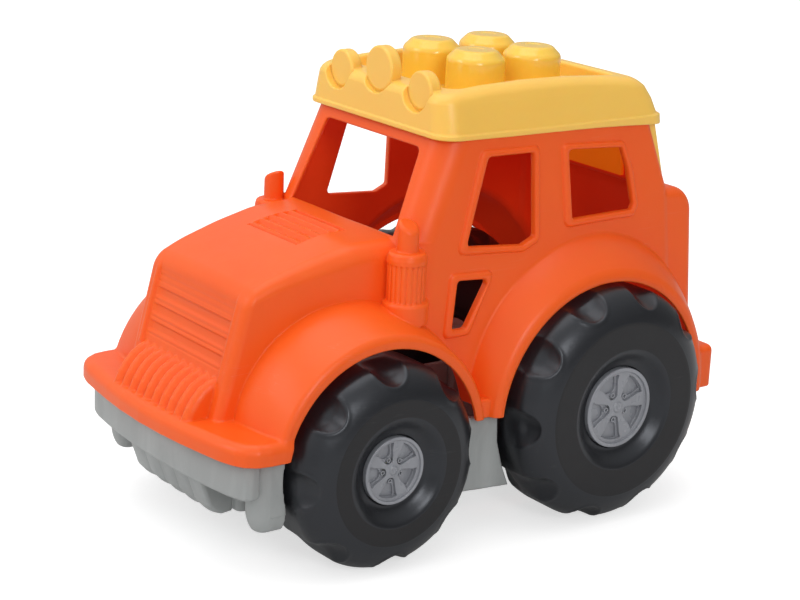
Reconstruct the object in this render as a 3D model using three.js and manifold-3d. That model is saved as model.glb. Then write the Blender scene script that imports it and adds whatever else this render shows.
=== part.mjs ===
// Toy farm tractor: one-piece body shell, block-stud roof, chassis and four free-turning wheels.
// Millimetres, +Z up, front faces -Y, +X is the vehicle's left side. The origin is on the ground,
// at the middle of the tractor's length and width.
import * as THREE from 'three';
import { mergeVertices } from 'three/addons/utils/BufferGeometryUtils.js';
import Module from 'manifold-3d';

const wasm = await Module();
wasm.setup();

// ---------------------------------------------------------------- driving dimensions
const WALL = 2.2; // body and roof wall
const GAP = 0.3; // clearance between touching pieces

const FRONT = { y: -56, z: 45, r: 45, ring: 32, face: 79.5, cap: 14.8, seg: 40, scoops: 8, phase: 3 };
const REAR = { y: 63.5, z: 53.4, r: 53.4, ring: 40.3, face: 83.6, cap: 18.4, seg: 50, scoops: 10, phase: 21 };
const TYRE_W = 41; // overall width of every tyre
const SHOULDER = 13; // radius of the tyre's rounded shoulder
const AXLE_R = 2;
const AXLE_HOLE_R = 2.09; // running fit on the axle
const SLEEVE_R = 4.9;
const BORE_R = 5.2;

const FRONT_ARCH = { y: -56.25, z: 46.4, r: 47.3, lip: 51, x: 67 };
const FRONT_CREASE = { y: -59.5, z: 57.5, r: 52.3, x: 40 };
const REAR_ARCH = { y: 62.2, z: 51.7, r: 57, lip: 61, x: 70.75 };
const REAR_CREASE = { y: 62.0, z: 60.5, r: 68, x: 47 };

const LEDGE_TOP = 64.5; // ledge that runs round the body above the bumper
const LEDGE_BOTTOM = 56;
const CAB_TOP = 176.2;
const STUD = { pitch: 31.75, r: 12.95, top: 205.7, y: 38.5 };
const ROOF_BOTTOM = 173.8;
const SCREWS = [[20, -96], [-20, -96], [20, 106], [-20, 106]];

// ---------------------------------------------------------------- geometry helpers
const V = (x, y, z) => new THREE.Vector3(x, y, z);
const lerp = (a, b, t) => a + (b - a) * t;

function facesOut(geometry) {
  const p = geometry.attributes.position, ix = geometry.index;
  const a = V(), b = V(), c = V();
  let volume = 0;
  for (let i = 0; i < ix.count; i += 3) {
    a.fromBufferAttribute(p, ix.getX(i)); b.fromBufferAttribute(p, ix.getX(i + 1)); c.fromBufferAttribute(p, ix.getX(i + 2));
    volume += a.dot(b.cross(c));
  }
  if (volume < 0) {
    for (let i = 0; i < ix.count; i += 3) {
      const t = ix.getX(i + 1);
      ix.setX(i + 1, ix.getX(i + 2)); ix.setX(i + 2, t);
    }
  }
  return geometry;
}

// A closed solid through a row of sections with the same number of points; `flat` gives the two
// coordinates used to triangulate the end caps.
function loft(sections, flat) {
  const n = sections[0].length, pos = [], idx = [];
  for (const s of sections) for (const p of s) pos.push(p[0], p[1], p[2]);
  for (let i = 0; i < sections.length - 1; i++) {
    for (let j = 0; j < n; j++) {
      const k = (j + 1) % n, a = i * n + j, b = i * n + k, c = a + n, d = b + n;
      idx.push(a, b, d, a, d, c);
    }
  }
  const cap = (s) => THREE.ShapeUtils.triangulateShape(s.map((p) => new THREE.Vector2(...flat(p))), []);
  const last = (sections.length - 1) * n;
  const first = cap(sections[0]), end = cap(sections[sections.length - 1]);
  // side quads run the same way round as the sections; the caps are turned to match them
  const area = THREE.ShapeUtils.area(sections[0].map((p) => new THREE.Vector2(...flat(p))));
  for (const [a, b, c] of first) area > 0 ? idx.push(a, c, b) : idx.push(a, b, c);
  for (const [a, b, c] of end) area > 0 ? idx.push(last + a, last + b, last + c) : idx.push(last + a, last + c, last + b);
  const g = new THREE.BufferGeometry();
  g.setAttribute('position', new THREE.Float32BufferAttribute(pos, 3));
  // the caps above assume one winding; when it is the other, the two cap fans are turned
  g.setIndex(idx);
  return g;
}
const XY = (p) => [p[0], p[1]], XZ = (p) => [p[0], p[2]], YZ = (p) => [p[1], p[2]];

function solid(geometry) {
  let g = geometry.clone();
  g.deleteAttribute('normal'); g.deleteAttribute('uv');
  g = mergeVertices(g, 1e-4);
  facesOut(g);
  const m = new wasm.Manifold(new wasm.Mesh({
    numProp: 3,
    vertProperties: Float32Array.from(g.attributes.position.array),
    triVerts: Uint32Array.from(g.index.array),
  }));
  return m;
}
function geometryOf(manifold) {
  const mesh = manifold.getMesh();
  const g = new THREE.BufferGeometry();
  g.setAttribute('position', new THREE.BufferAttribute(Float32Array.from(mesh.vertProperties), 3));
  g.setIndex(new THREE.BufferAttribute(Uint32Array.from(mesh.triVerts), 1));
  return g;
}
const union = (list) => list.reduce((a, b) => a.add(b));
const cut = (a, list) => list.reduce((m, b) => m.subtract(b), a);

// A straight prism of a 2-D outline. axis 'x' takes (y,z), 'y' takes (x,z), 'z' takes (x,y).
function prism(axis, outline, from, to) {
  const shape = new THREE.Shape(outline.map((p) => new THREE.Vector2(p[0], p[1])));
  const g = new THREE.ExtrudeGeometry(shape, { depth: to - from, bevelEnabled: false, steps: 1 });
  g.translate(0, 0, from);
  const m = new THREE.Matrix4();
  if (axis === 'x') m.set(0, 0, 1, 0, 1, 0, 0, 0, 0, 1, 0, 0, 0, 0, 0, 1);
  if (axis === 'y') m.set(1, 0, 0, 0, 0, 0, 1, 0, 0, 1, 0, 0, 0, 0, 0, 1);
  g.applyMatrix4(m);
  return solid(g);
}
function box(x0, x1, y0, y1, z0, z1) {
  const g = new THREE.BoxGeometry(x1 - x0, y1 - y0, z1 - z0);
  g.translate((x0 + x1) / 2, (y0 + y1) / 2, (z0 + z1) / 2);
  return solid(g);
}
// Round bar along an axis, from a to b.
function bar(axis, r, a, b, u, v, segments = 24, r2 = r) {
  const g = new THREE.CylinderGeometry(r2, r, b - a, segments);
  if (axis === 'z') { g.rotateX(Math.PI / 2); g.translate(u, v, (a + b) / 2); }
  if (axis === 'x') { g.rotateZ(-Math.PI / 2); g.translate((a + b) / 2, u, v); }
  if (axis === 'y') { g.translate(u, (a + b) / 2, v); }
  return solid(g);
}
const mirrored = (m) => {
  const g = geometryOf(m);
  g.scale(-1, 1, 1);
  return solid(g);
};
const both = (m) => [m, mirrored(m)];

// Plan outline of a rounded rectangle, symmetric about X = 0.
function roundPlan(hw, y0, y1, rf, rb, n = 3) {
  const pts = [];
  const corner = (cx, cy, r, a0) => {
    for (let i = 0; i <= n; i++) {
      const a = a0 + (Math.PI / 2) * (i / n);
      pts.push([cx + r * Math.cos(a), cy + r * Math.sin(a)]);
    }
  };
  corner(hw - rf, y0 + rf, rf, -Math.PI / 2);
  corner(hw - rb, y1 - rb, rb, 0);
  corner(-hw + rb, y1 - rb, rb, Math.PI / 2);
  corner(-hw + rf, y0 + rf, rf, Math.PI);
  return pts;
}
const plan = (pts, z) => pts.map(([x, y]) => [x, y, z]);

// ---------------------------------------------------------------- body shell
const LEAN = 0.265; // forward lean of the grille

// Hood: leaning cross sections given by the height and place of their top edge.
function hood(t) {
  const stations = [
    // y of top edge, top z, half width, corner radius
    [t ? 4 : -6, 133.4, 46.8, 9], [-36, 133.0, 45.2, 9], [-57, 132.0, 43.2, 9], [-75, 127.6, 41.6, 9],
    [-93.5, 121.8, 40, 8.5], [-102.5, 117.4, 39.2, 7], [-105.4, 114.8, 38, 6], [-107, 111.2, 35.4, 4.5],
  ];
  const nose = t ? 2.4 : 0;
  return loft(stations.map(([yt, zt, hw, r]) => {
    const y = (z) => (yt < -60 ? yt + nose * Math.min(1, (-yt - 60) / 40) : yt) - (zt - z) * LEAN;
    const w = hw - t, top = zt - t, rr = Math.max(r - t, 2), n = t ? 2 : 3;
    const right = [[w, 48], [w, top - rr]];
    for (let i = 1; i <= n; i++) {
      const a = (Math.PI / 2) * (i / n);
      right.push([w - rr + rr * Math.cos(a), top - rr + rr * Math.sin(a)]);
    }
    const s = [...right, [0, top + 0.8], ...right.slice().reverse().map(([x, z]) => [-x, z])];
    return s.map(([x, z]) => [x, y(z), z]);
  }), XZ);
}

const cabHalf = (z) => 50 + (172 - z) * 0.06;
const cabFront = (z) => (z > 133 ? -19.1 - (172.6 - z) * 0.413 : -35.5 - (133 - z) * 0.02);
const cabRear = (z) => (z > 143 ? 97.4 + (170 - z) * 0.478 : 110.3 + (143 - z) * 0.08);
function cab(t, z0, z1) {
  const zs = [z0, 100, 133, 143, z1];
  return loft(zs.map((z) => plan(roundPlan(cabHalf(z) - t, cabFront(z) + t, cabRear(z) - t, (z > 140 ? 10.5 : 13.5) - t, 4.5 - t, t ? 2 : 3), z)), XY);
}
function rearBox(t) {
  const rows = [[48, 130.6], [87, 129.8], [111, 128.6], [131.5, 127.2], [136.2, 125.4], [140.4, 121.6], [143, 116.6], [144.2, 110]];
  return loft(rows.map(([z, y], i) => {
    const zz = i ? z - t : z - 2 * t;
    return plan(roundPlan(cabHalf(z) - 0.6 - t - (i > 4 ? (i - 4) * 0.5 : 0), 60, y - t, 3, 6 - t, 2), zz);
  }), XY);
}

// Fender: arches that fall from the crease at the body to the lip at the wheel.
function fender(c, l, t, x0, x1, zb) {
  const xs = [x0, c.x + 6, c.x + 12, c.x + 17, l.x - 5.5, l.x - 2, l.x - 0.6, l.x].filter((x) => x < x1 - 0.8);
  xs.push(x1);
  const n = t ? 12 : 16;
  return loft(xs.map((x) => {
    const s = Math.pow(Math.min(Math.max((x - c.x) / (l.x - c.x), 0), 1), 1.8);
    const cy = lerp(c.y, l.y, s), cz = lerp(c.z, l.z, s);
    const edge = x > l.x - 1.5 && !t ? (x - (l.x - 1.5)) / 1.5 : 0;
    const r = lerp(c.r, l.lip, s) - t - edge * edge * 1.2;
    const a0 = Math.asin(Math.max(Math.min((zb - cz) / r, 1), -1));
    const pts = [];
    for (let i = 0; i <= n; i++) {
      const a = Math.PI - a0 + ((2 * a0 - Math.PI) * i) / n;
      pts.push([x, cy + r * Math.cos(a), cz + r * Math.sin(a)]);
    }
    const yb = pts[pts.length - 1][1], ya = pts[0][1];
    pts.push([x, yb, zb - 8], [x, ya, zb - 8]);
    return pts;
  }), YZ);
}

const LEDGE_PLAN = [[0, -134], [17, -133.4], [31, -132], [44, -130.2], [56, -128.4], [63, -126], [67, -122.6], [69.4, -117.5], [70, -111]];
function ledgePlan(t, yEnd) {
  const right = LEDGE_PLAN.map(([x, y]) => [x > 0 ? x - t * Math.min(1, x / 60) : 0, y + t * (y < -120 ? 1 : 0.4)]);
  right.push([70 - t, yEnd]);
  return [...right, ...right.slice(1).reverse().map(([x, y]) => [-x, y])];
}
function frontLedge(t) {
  const o = ledgePlan(t, -84);
  if (t) return prism('z', o, LEDGE_BOTTOM - 6, LEDGE_TOP - t);
  const small = ledgePlan(1.6, -84);
  return solid(loft([plan(o, LEDGE_BOTTOM), plan(o, LEDGE_TOP - 2.2), plan(ledgePlan(0.5, -84), LEDGE_TOP - 0.8), plan(small, LEDGE_TOP)], XY));
}
function rearLedge(t) {
  const o = roundPlan(66.5 - t, 100, 134 - t, 2, 8 - t, 3);
  if (t) return prism('z', o, 40, 69.6 - t);
  const o2 = roundPlan(65.5, 100, 132.6, 2, 7, 3), o3 = roundPlan(64, 100, 130.6, 2, 6, 3);
  return solid(loft([plan(o, 47), plan(o, 66), plan(o2, 68.6), plan(o3, 70)], XY));
}

const BULGE = [[-112, 79], [-115.6, 78.2], [-119.6, 75.8], [-123.2, 71.6], [-125.8, 67.6], [-127.2, LEDGE_TOP - 0.6], [-112, LEDGE_TOP - 0.6]];
const bulgeAt = (t) => BULGE.map(([y, z]) => [y + t * (y < -112 ? 1 : 0), z - t * (z > 65 ? 0.8 : 0)]);

const DOOR_WINDOW = [[4.5, 166.2], [29.2, 165.9], [30.4, 129.2], [23.8, 126.3], [-6.5, 129.0]];
const REAR_WINDOW = [[48.7, 165.4], [79.8, 163.8], [84.2, 153.3], [87.8, 137.6], [86.6, 135.2], [52.0, 134.4]];
const LOW_WINDOW = [[-11, 114.8], [5.3, 113.6], [-6.8, 93.7], [-13.8, 93.6]];
// The outline moved outwards by d.
function grown(outline, d) {
  const n = outline.length, area = THREE.ShapeUtils.area(outline.map((p) => new THREE.Vector2(...p))), s = area > 0 ? 1 : -1;
  return outline.map((p, i) => {
    const a = outline[(i + n - 1) % n], b = outline[(i + 1) % n];
    const e1 = new THREE.Vector2(p[0] - a[0], p[1] - a[1]).normalize(), e2 = new THREE.Vector2(b[0] - p[0], b[1] - p[1]).normalize();
    const n1 = new THREE.Vector2(e1.y * s, -e1.x * s), n2 = new THREE.Vector2(e2.y * s, -e2.x * s);
    const m = n1.clone().add(n2).normalize(), k = d / Math.max(m.dot(n1), 0.55);
    return [p[0] + m.x * k, p[1] + m.y * k];
  });
}
// A slab that follows the leaning cab side between two offsets from it.
const onSide = (outline, a, b) => solid(loft([
  outline.map(([y, z]) => [cabHalf(z) + a, y, z]),
  outline.map(([y, z]) => [cabHalf(z) + b, y, z]),
], YZ));

const STACK = { x: 51.2, y: -36.2 };
function stack() {
  const pipe = bar('z', 4.5, 120, 146, STACK.x, STACK.y, 16, 4.3);
  const chop = new THREE.BoxGeometry(40, 20, 24);
  chop.rotateY((29 * Math.PI) / 180);
  chop.translate(STACK.x + 5.8, STACK.y, 151.5);
  const collar = bar('z', 8.6, 127.6, 130.2, STACK.x, STACK.y, 20, 7.4);
  const body = bar('z', 8.1, 94, 128, STACK.x, STACK.y, 20);
  const flange = bar('z', 9.9, 105.2, 108.4, STACK.x, STACK.y, 20, 9.2);
  return union([cut(pipe, [solid(chop)]), collar, body, flange]);
}

function bodyShell() {
  const outer = [
    solid(hood(0)), solid(cab(0, 48, CAB_TOP)), solid(rearBox(0)), frontLedge(0), rearLedge(0),
    ...both(solid(fender(FRONT_CREASE, FRONT_ARCH, 0, 30, FRONT_ARCH.x, 60))),
    ...both(solid(fender(REAR_CREASE, REAR_ARCH, 0, 30, REAR_ARCH.x, 56))),
    box(-66, 66, -18, 14, LEDGE_BOTTOM, LEDGE_TOP - 0.5),
    prism('x', BULGE, -31, 31),
    ...both(stack()),
  ];
  const inner = [
    solid(hood(WALL)), solid(cab(WALL, 30, CAB_TOP + 4)), solid(rearBox(WALL)), frontLedge(WALL), rearLedge(WALL),
    ...both(solid(fender(FRONT_CREASE, FRONT_ARCH, WALL, 20, FRONT_ARCH.x - WALL, 60))),
    ...both(solid(fender(REAR_CREASE, REAR_ARCH, WALL, 20, REAR_ARCH.x - WALL, 56))),
    box(-66 + WALL, 66 - WALL, -40, 40, 30, LEDGE_TOP - 0.5 - WALL),
    prism('x', bulgeAt(WALL), -31 + WALL, 31 - WALL),
    ...both(bar('z', 6, 90, 125.5, STACK.x, STACK.y, 16)),
  ];
  let m = cut(union(outer), [union(inner)]);
  // wheel openings, and everything below the body's lower edge
  const below = union([
    box(-90, 90, -140, 100, 20, LEDGE_BOTTOM), box(-90, 90, 98, 140, 20, 47),
    ...both(bar('x', FRONT_ARCH.r, 40, 90, FRONT_ARCH.y, FRONT_ARCH.z, 40)),
    ...both(bar('x', REAR_ARCH.r, 44, 90, REAR_ARCH.y, REAR_ARCH.z, 44)),
  ]);
  m = m.subtract(below);
  // windows
  const shield = prism('y', [[-38.6, 133.4], [38.6, 133.4], [40, 136], [35.6, 168.4], [33.6, 169.8], [-33.6, 169.8], [-35.6, 168.4], [-40, 136]], -50, -8);
    m = cut(m, [shield]);
  m = m.subtract(prism('y', [[-20, 147.5], [20, 147.5], [24, 167.5], [-24, 167.5]], 88, 116));
  for (const o of [DOOR_WINDOW, REAR_WINDOW, LOW_WINDOW]) {
    const rim = onSide(grown(o, 3.1), -WALL, 1.0);
    m = m.add(union(both(rim)));
    m = m.subtract(union(both(onSide(o, -8, 8))));
  }
  // grille: a shallow recess with five louvres
  const g = [];
  for (let i = 0; i < 4; i++) {
    const z = 106.6 - i * 6.4, y = -108.4 - (106 - z) * LEAN;
    g.push(prism('x', [[y - 2, z + 0.4], [y + 0.9, z - 0.2], [y + 0.9 - 0.3, z - 2.9], [y - 2, z - 3.1]], -29, 29));
  }
  // hood vents: five grooves across the hood
  for (let i = 0; i < 5; i++) {
    const y = -48 - i * 5.2, z = 134 - Math.max(0, (-y - 57) * 0.24) - (i < 2 ? 1.2 : 1.1);
    g.push(box(-18.5, 18.5, y - 0.9, y + 0.9, z - 0.9, z + 6));
  }
  // ribs of the bulge
  for (let i = 1; i < 10; i++) {
    const x = -31 + i * 6.2;
    g.push(prism('x', [[-111.5, 84], [-130, 84], [-130, LEDGE_TOP + 0.1], [-126.6, LEDGE_TOP + 0.1], [-125, 67.6], [-122.5, 71.1], [-119.2, 74.9], [-115.6, 77.2], [-111.5, 77.8]], x - 0.7, x + 0.7));
  }
  m = cut(m, g);
  // posts for the screws
  for (const [x, y] of SCREWS) {
    const top = y < 0 ? 86 : 82;
    const wall = y < 0 ? box(x - 1.2, x + 1.2, -113, y, 44.4, 84) : box(x - 1.2, x + 1.2, y, 129, 47, 80);
    m = m.add(bar('z', 4, 44.4, top, x, y, 16).add(wall));
    m = m.subtract(bar('z', 1.5, 40, 66, x, y, 12));
  }
  return m;
}

// ---------------------------------------------------------------- roof
function roofCap() {
  const rows = [
    [ROOF_BOTTOM, -21, 104.6, 51.8, 8.5], [176.8, -20.9, 103.8, 51.9, 8.5], [177.6, -20, 102.8, 51, 8], [184, -19, 99.6, 49.2, 8],
    [189.4, -17.6, 95.6, 47.8, 8], [193.4, -15, 91.2, 46, 7], [195, -12.6, 88.6, 44, 6],
  ];
  const outer = solid(loft(rows.map(([z, a, b, w, r]) => plan(roundPlan(w, a, b, r, r), z)), XY));
  const tray = solid(loft([[186.4, -7.6, 84, 38.6, 5], [196, -8.4, 85, 39.4, 5]].map(([z, a, b, w, r]) => plan(roundPlan(w, a, b, r, r), z)), XY));
  const under = solid(loft([
    [ROOF_BOTTOM - 2, -19.5, 101.6, 50.2, 8], [CAB_TOP + GAP, -19.2, 101, 50.2, 8], [CAB_TOP + GAP + 0.1, -16.6, 98, 47.2, 7], [184, -15.6, 94, 45.6, 7],
  ].map(([z, a, b, w, r]) => plan(roundPlan(w, a, b, r, r), z)), XY));
  let m = cut(outer, [tray, under]);
  // four studs, hollow from below
  for (const [sx, sy] of [[1, -1], [1, 1], [-1, -1], [-1, 1]]) {
    const x = (sx * STUD.pitch) / 2, y = STUD.y + (sy * STUD.pitch) / 2;
    const p = new THREE.LatheGeometry([[0, 184.6], [STUD.r, 184.6], [STUD.r, STUD.top - 4], [STUD.r - 1.3, STUD.top - 1.7], [8.9, STUD.top], [0, STUD.top]].map((q) => new THREE.Vector2(...q)), 24);
    p.rotateX(Math.PI / 2); p.translate(x, y, 0);
    m = m.add(solid(p));
    m = m.subtract(bar('z', STUD.r - 2.4, 180, STUD.top - 3.6, x, y, 20));
  }
  // three lamp discs along the front edge
  for (const [x, z, r, y0, y1] of [[0, 197.6, 9.8, -21, -13.5], [29.2, 193.4, 8, -18.8, -12], [-29.2, 193.4, 8, -18.8, -12]]) {
    m = m.add(bar('y', r, y0, y1, x, z, 24));
  }
  // panel that hangs down the cab's back and covers its rear window
  const y = (z) => cabRear(z) + GAP;
  const out = [[44.6, 178], [44.6, 145], [-44.6, 145], [-44.6, 178]];
  m = m.add(solid(loft([out.map(([x, z]) => [x, y(z), z]), out.map(([x, z]) => [x, y(z) + 2.2, z])], XZ))
    .add(box(-44.6, 44.6, 94.2, 101.8, CAB_TOP + GAP, 178.5)));
  return m;
}

// ---------------------------------------------------------------- chassis
function chassis() {
  const tray = prism('z', roundPlan(35.5, -106, 122, 4, 4, 2), 22, 43.6);
  const inside = prism('z', roundPlan(33, -103.5, 119.5, 3, 3, 2), 24.5, 60);
  const saddles = union([
    ...both(box(29.5, 35.5, FRONT.y - 8, FRONT.y + 8, 22, 51.5)), ...both(box(29.5, 35.5, REAR.y - 8, REAR.y + 8, 22, 60.5)),
  ]);
  // front bumper: a bowed band that the body's ledge sits on
  const bow = (t, y1) => {
    const r = [[0, -127.8], [17, -127.4], [31, -126.4], [44, -125], [54, -123.2], [60, -120.8], [62.8, -117.6], [63.4, -113.5]]
      .map(([x, y]) => [x ? x - t * Math.min(1, x / 50) : 0, y + t]);
    r.push([63.4 - t, y1]);
    return [...r, ...r.slice(1).reverse().map(([x, y]) => [-x, y])];
  };
  const band = prism('z', bow(0, -101.5), 40, LEDGE_BOTTOM - GAP).subtract(prism('z', bow(2.6, -100.5), 42.6, 60).subtract(box(-80, 80, -104, -90, 30, 70)));
  const column = (h, front, z, back = -101) => {
    const pts = [];
    for (let k = 0; k <= 8; k++) {
      const a = (Math.PI * k) / 8;
      pts.push([56.2 - h * Math.cos(a), -107.4 + (front + 107.4) * Math.sin(a)]);
    }
    return plan([...pts, [56.2 + h, back], [56.2 - h, back]], z);
  };
  const guard = solid(loft([
    column(4.6, -110, 21.8), column(6.4, -112.4, 23.4), column(7.2, -114.2, 27.4), column(7.2, -115, 33), column(7.2, -115, LEDGE_BOTTOM - GAP),
  ], XY));
  const guardInside = solid(loft([column(4.4, -110.8, 27, -104), column(4.6, -112.4, 60, -104)], XY));
  const valance = prism('x', [[-125.5, 41], [-121, 36], [-118.4, 29.4], [-117, 23.4], [-111.6, 20.2], [-105.5, 20.8], [-105.2, 41]], -30.5, 30.5);
  const grooves = [];
  for (const x of [-18.3, -6.1, 6.1, 18.3]) grooves.push(prism('x', [[-126, 38.6], [-121.8, 35], [-119.6, 29], [-118.2, 21], [-117.5, 19], [-112, 19], [-112, 21.2], [-116.2, 23.8], [-117.6, 29.6], [-120.2, 35.6], [-124, 39.6]], x - 1, x + 1));
  // side skirts between the wheels, flared at the foot to follow the tyres
  const skirt = prism('x', [[-8.6, 55.7], [-8.6, 40], [-11, 30], [-13.6, 22.8], [16, 20.2], [12.4, 30], [8.6, 42], [7.6, 55.7]], 34, 63.4);
  const skirtInside = prism('x', [[-6, 60], [-6, 40], [-8.4, 30], [-10, 25.4], [12.4, 23.4], [9.6, 30], [6, 42], [5.2, 60]], 30, 60.9);
  // rear bumper under the body's rear ledge
  const rear = prism('z', roundPlan(60, 116, 130, 2, 6, 2), 31, 46.6 - GAP).subtract(prism('z', roundPlan(57.4, 100, 127.4, 2, 5, 2), 33.6, 60));
  const rearLink = box(-35.5, 35.5, 112, 122, 22, 40);
  let m = union([tray, saddles, band, ...both(guard), valance, ...both(skirt), rear, rearLink]);
  m = cut(m, [inside, ...both(skirtInside), ...both(guardInside), box(-46, 46, -108, -100, 44, 60), ...grooves]);
  m = m.add(union([...both(box(33, 35.5, -12, 15, 22, 43.6)), box(-40, 40, -106, -101, 22, 44)]));
  // screw tubes
  for (const [x, y] of SCREWS) {
    m = m.add(bar('z', 5.5, 22, 43.9, x, y, 16));
    m = m.subtract(bar('z', 1.7, 20, 46, x, y, 12));
    m = m.subtract(bar('z', 3.8, 20, 36, x, y, 12));
  }
  // clearance for the tyres and holes for the axles
  m = cut(m, [
    ...both(bar('x', FRONT.r + 1.6, 37, 90, FRONT.y, FRONT.z, 40)), ...both(bar('x', REAR.r + 1.6, 37, 90, REAR.y, REAR.z, 44)),
    bar('x', AXLE_R + 0.06, -60, 60, FRONT.y, FRONT.z, 24), bar('x', AXLE_R + 0.06, -60, 60, REAR.y, REAR.z, 24),
  ]);
  return m;
}

// ---------------------------------------------------------------- wheels
// Hollow tyre, open to its bore, with rounded scoops in both shoulders. Built about +X.
function tyre(w) {
  const f = w.face, i = f - TYRE_W, r = w.r, s = SHOULDER, q = w.ring;
  const capBay = w.cap + 1.5, dish = w.cap + 9.4;
  const k = [0.3827, 0.7071, 0.9239];
  const profile = [
    [BORE_R, f - 8], [capBay, f - 8], [capBay + 2.4, f - 4.2], [dish, f], [q, f],
    [q + s * k[0], f - s + s * k[2]], [q + s * k[1], f - s + s * k[1]], [q + s * k[2], f - s + s * k[0]], [r, f - s],
    [r, i + s], [q + s * k[2], i + s - s * k[0]], [q + s * k[1], i + s - s * k[1]], [q + s * k[0], i + s - s * k[2]], [q, i], [BORE_R, i],
    [BORE_R, i + 2.4], [q - 1, i + 2.4], [r - 5.4, i + s], [r - 5.4, f - s], [q - 1, f - 2.6], [dish + 1, f - 2.6], [capBay, f - 10.4], [BORE_R, f - 10.4],
  ];
  const g = new THREE.LatheGeometry([...profile, profile[0]].map(([rr, x]) => new THREE.Vector2(rr, x)), w.seg);
  const p = g.attributes.position, v = V();
  for (let j = 0; j < p.count; j++) {
    v.fromBufferAttribute(p, j);
    const rad = Math.hypot(v.x, v.z), mid = Math.abs(v.y - (f - TYRE_W / 2));
    // lathe turns about Y: x = r sin, z = r cos
    const ang = (Math.atan2(v.x, v.z) * 180) / Math.PI;
    if (rad > r - 7.5 && rad < r - 0.2 && mid > TYRE_W / 2 - s + 0.5) {
      const pitch = 360 / w.scoops;
      let d = ((ang - w.phase) % pitch + pitch) % pitch;
      d = Math.min(d, pitch - d) / (pitch * 0.24);
      const out = (mid - (TYRE_W / 2 - s)) / (s * 0.86);
      const depth = 3.6 * Math.max(0, 1 - d * d) * Math.max(0, 1.1 - out);
      v.x *= 1 - depth / rad; v.z *= 1 - depth / rad;
      p.setXYZ(j, v.x, v.y, v.z);
    }
  }
  const m = solid(g);
  const h = geometryOf(m);
  // from the lathe's (x, y, z) to the wheel's: axis Y becomes X, angle 0 points up
  h.applyMatrix4(new THREE.Matrix4().set(0, 1, 0, 0, -1, 0, 0, 0, 0, 0, 1, 0, 0, 0, 0, 1));
  return facesOut(h);
}

// Hub cap: rim, dished face with five swept openings, and a plug that presses into the tyre's bore.
function hubcap(w) {
  const f = w.face - 3, R = w.cap, b = w.face - 8 + GAP;
  const profile = [[0, b], [R, b], [R, f - 0.5], [R - 1.2, f], [R - 2.6, f - 1.2], [4.2, f - 0.5], [3.4, f + 0.3], [0, f + 0.3]];
  const g = new THREE.LatheGeometry(profile.map(([rr, x]) => new THREE.Vector2(rr, x)), 24);
  g.applyMatrix4(new THREE.Matrix4().set(0, 1, 0, 0, -1, 0, 0, 0, 0, 0, 1, 0, 0, 0, 0, 1));
  let m = solid(g);
  for (let i = 0; i < 5; i++) {
    const a = (i * 2 * Math.PI) / 5, k = R / 14.8;
    const o = [[5.2, -1.4], [8, -2.6], [11.4, -2], [11.6, 1.4], [9.6, 3.6], [7.4, 2.2]].map(([u, v]) => {
      const x = u * k, y = v * k;
      return [x * Math.cos(a) - y * Math.sin(a), x * Math.sin(a) + y * Math.cos(a)];
    });
    m = m.subtract(prism('x', o, f - 3, f + 3));
  }
  // recess in the back for the axle's end and its retainer
  m = m.subtract(bar('x', 4.7, b - 1, b + 1.8, 0, 0, 16));
  return geometryOf(m);
}

function hubSleeve(w) {
  const i = w.face - TYRE_W;
  const m = union([bar('x', SLEEVE_R, i - 2, w.face - 12.6, 0, 0, 20), bar('x', 8.5, i - 2.2, i - 0.35, 0, 0, 20)]);
  return geometryOf(m.subtract(bar('x', AXLE_HOLE_R, i - 5, w.face, 0, 0, 24)));
}
// Push-on cap that holds the wheel on its axle.
function retainer(w) {
  const a = w.face - 12.2, e = w.face - 8.6;
  return geometryOf(bar('x', 4.4, a, e, 0, 0, 16).subtract(bar('x', AXLE_R + 0.06, a - 1, e - 1.2, 0, 0, 24)));
}
const axle = (w) => geometryOf(bar('x', AXLE_R, -(w.face - 10.2), w.face - 10.2, 0, 0, 24));

function screw() {
  const head = bar('z', 3.1, 33.4, 35.7, 0, 0, 12), shank = bar('z', 1.3, 35, 60, 0, 0, 10), slot = box(-2, 2, -0.45, 0.45, 33, 34.3);
  return geometryOf(head.add(shank).subtract(slot));
}

// ---------------------------------------------------------------- materials
const orange = new THREE.MeshStandardMaterial({ color: 0xf26a35, roughness: 0.5, metalness: 0 });
const yellow = new THREE.MeshStandardMaterial({ color: 0xfbc25c, roughness: 0.45, metalness: 0 });
const gray = new THREE.MeshStandardMaterial({ color: 0x969b9b, roughness: 0.5, metalness: 0 });
const black = new THREE.MeshStandardMaterial({ color: 0x2b2c2e, roughness: 0.42, metalness: 0 });
const silver = new THREE.MeshStandardMaterial({ color: 0x8d9297, roughness: 0.4, metalness: 0 });
const nylon = new THREE.MeshStandardMaterial({ color: 0xd8d8d2, roughness: 0.5, metalness: 0 });
const steel = new THREE.MeshStandardMaterial({ color: 0xb8bcc0, roughness: 0.3, metalness: 1 });

// ---------------------------------------------------------------- assembly
const tractor = new THREE.Group();
function add(name, geometry, material, place = [0, 0, 0], turn = null) {
  const mesh = new THREE.Mesh(geometry, material.clone());
  mesh.name = name;
  mesh.position.set(...place);
  if (turn) mesh.rotation.set(...turn);
  tractor.add(mesh);
}

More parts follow.
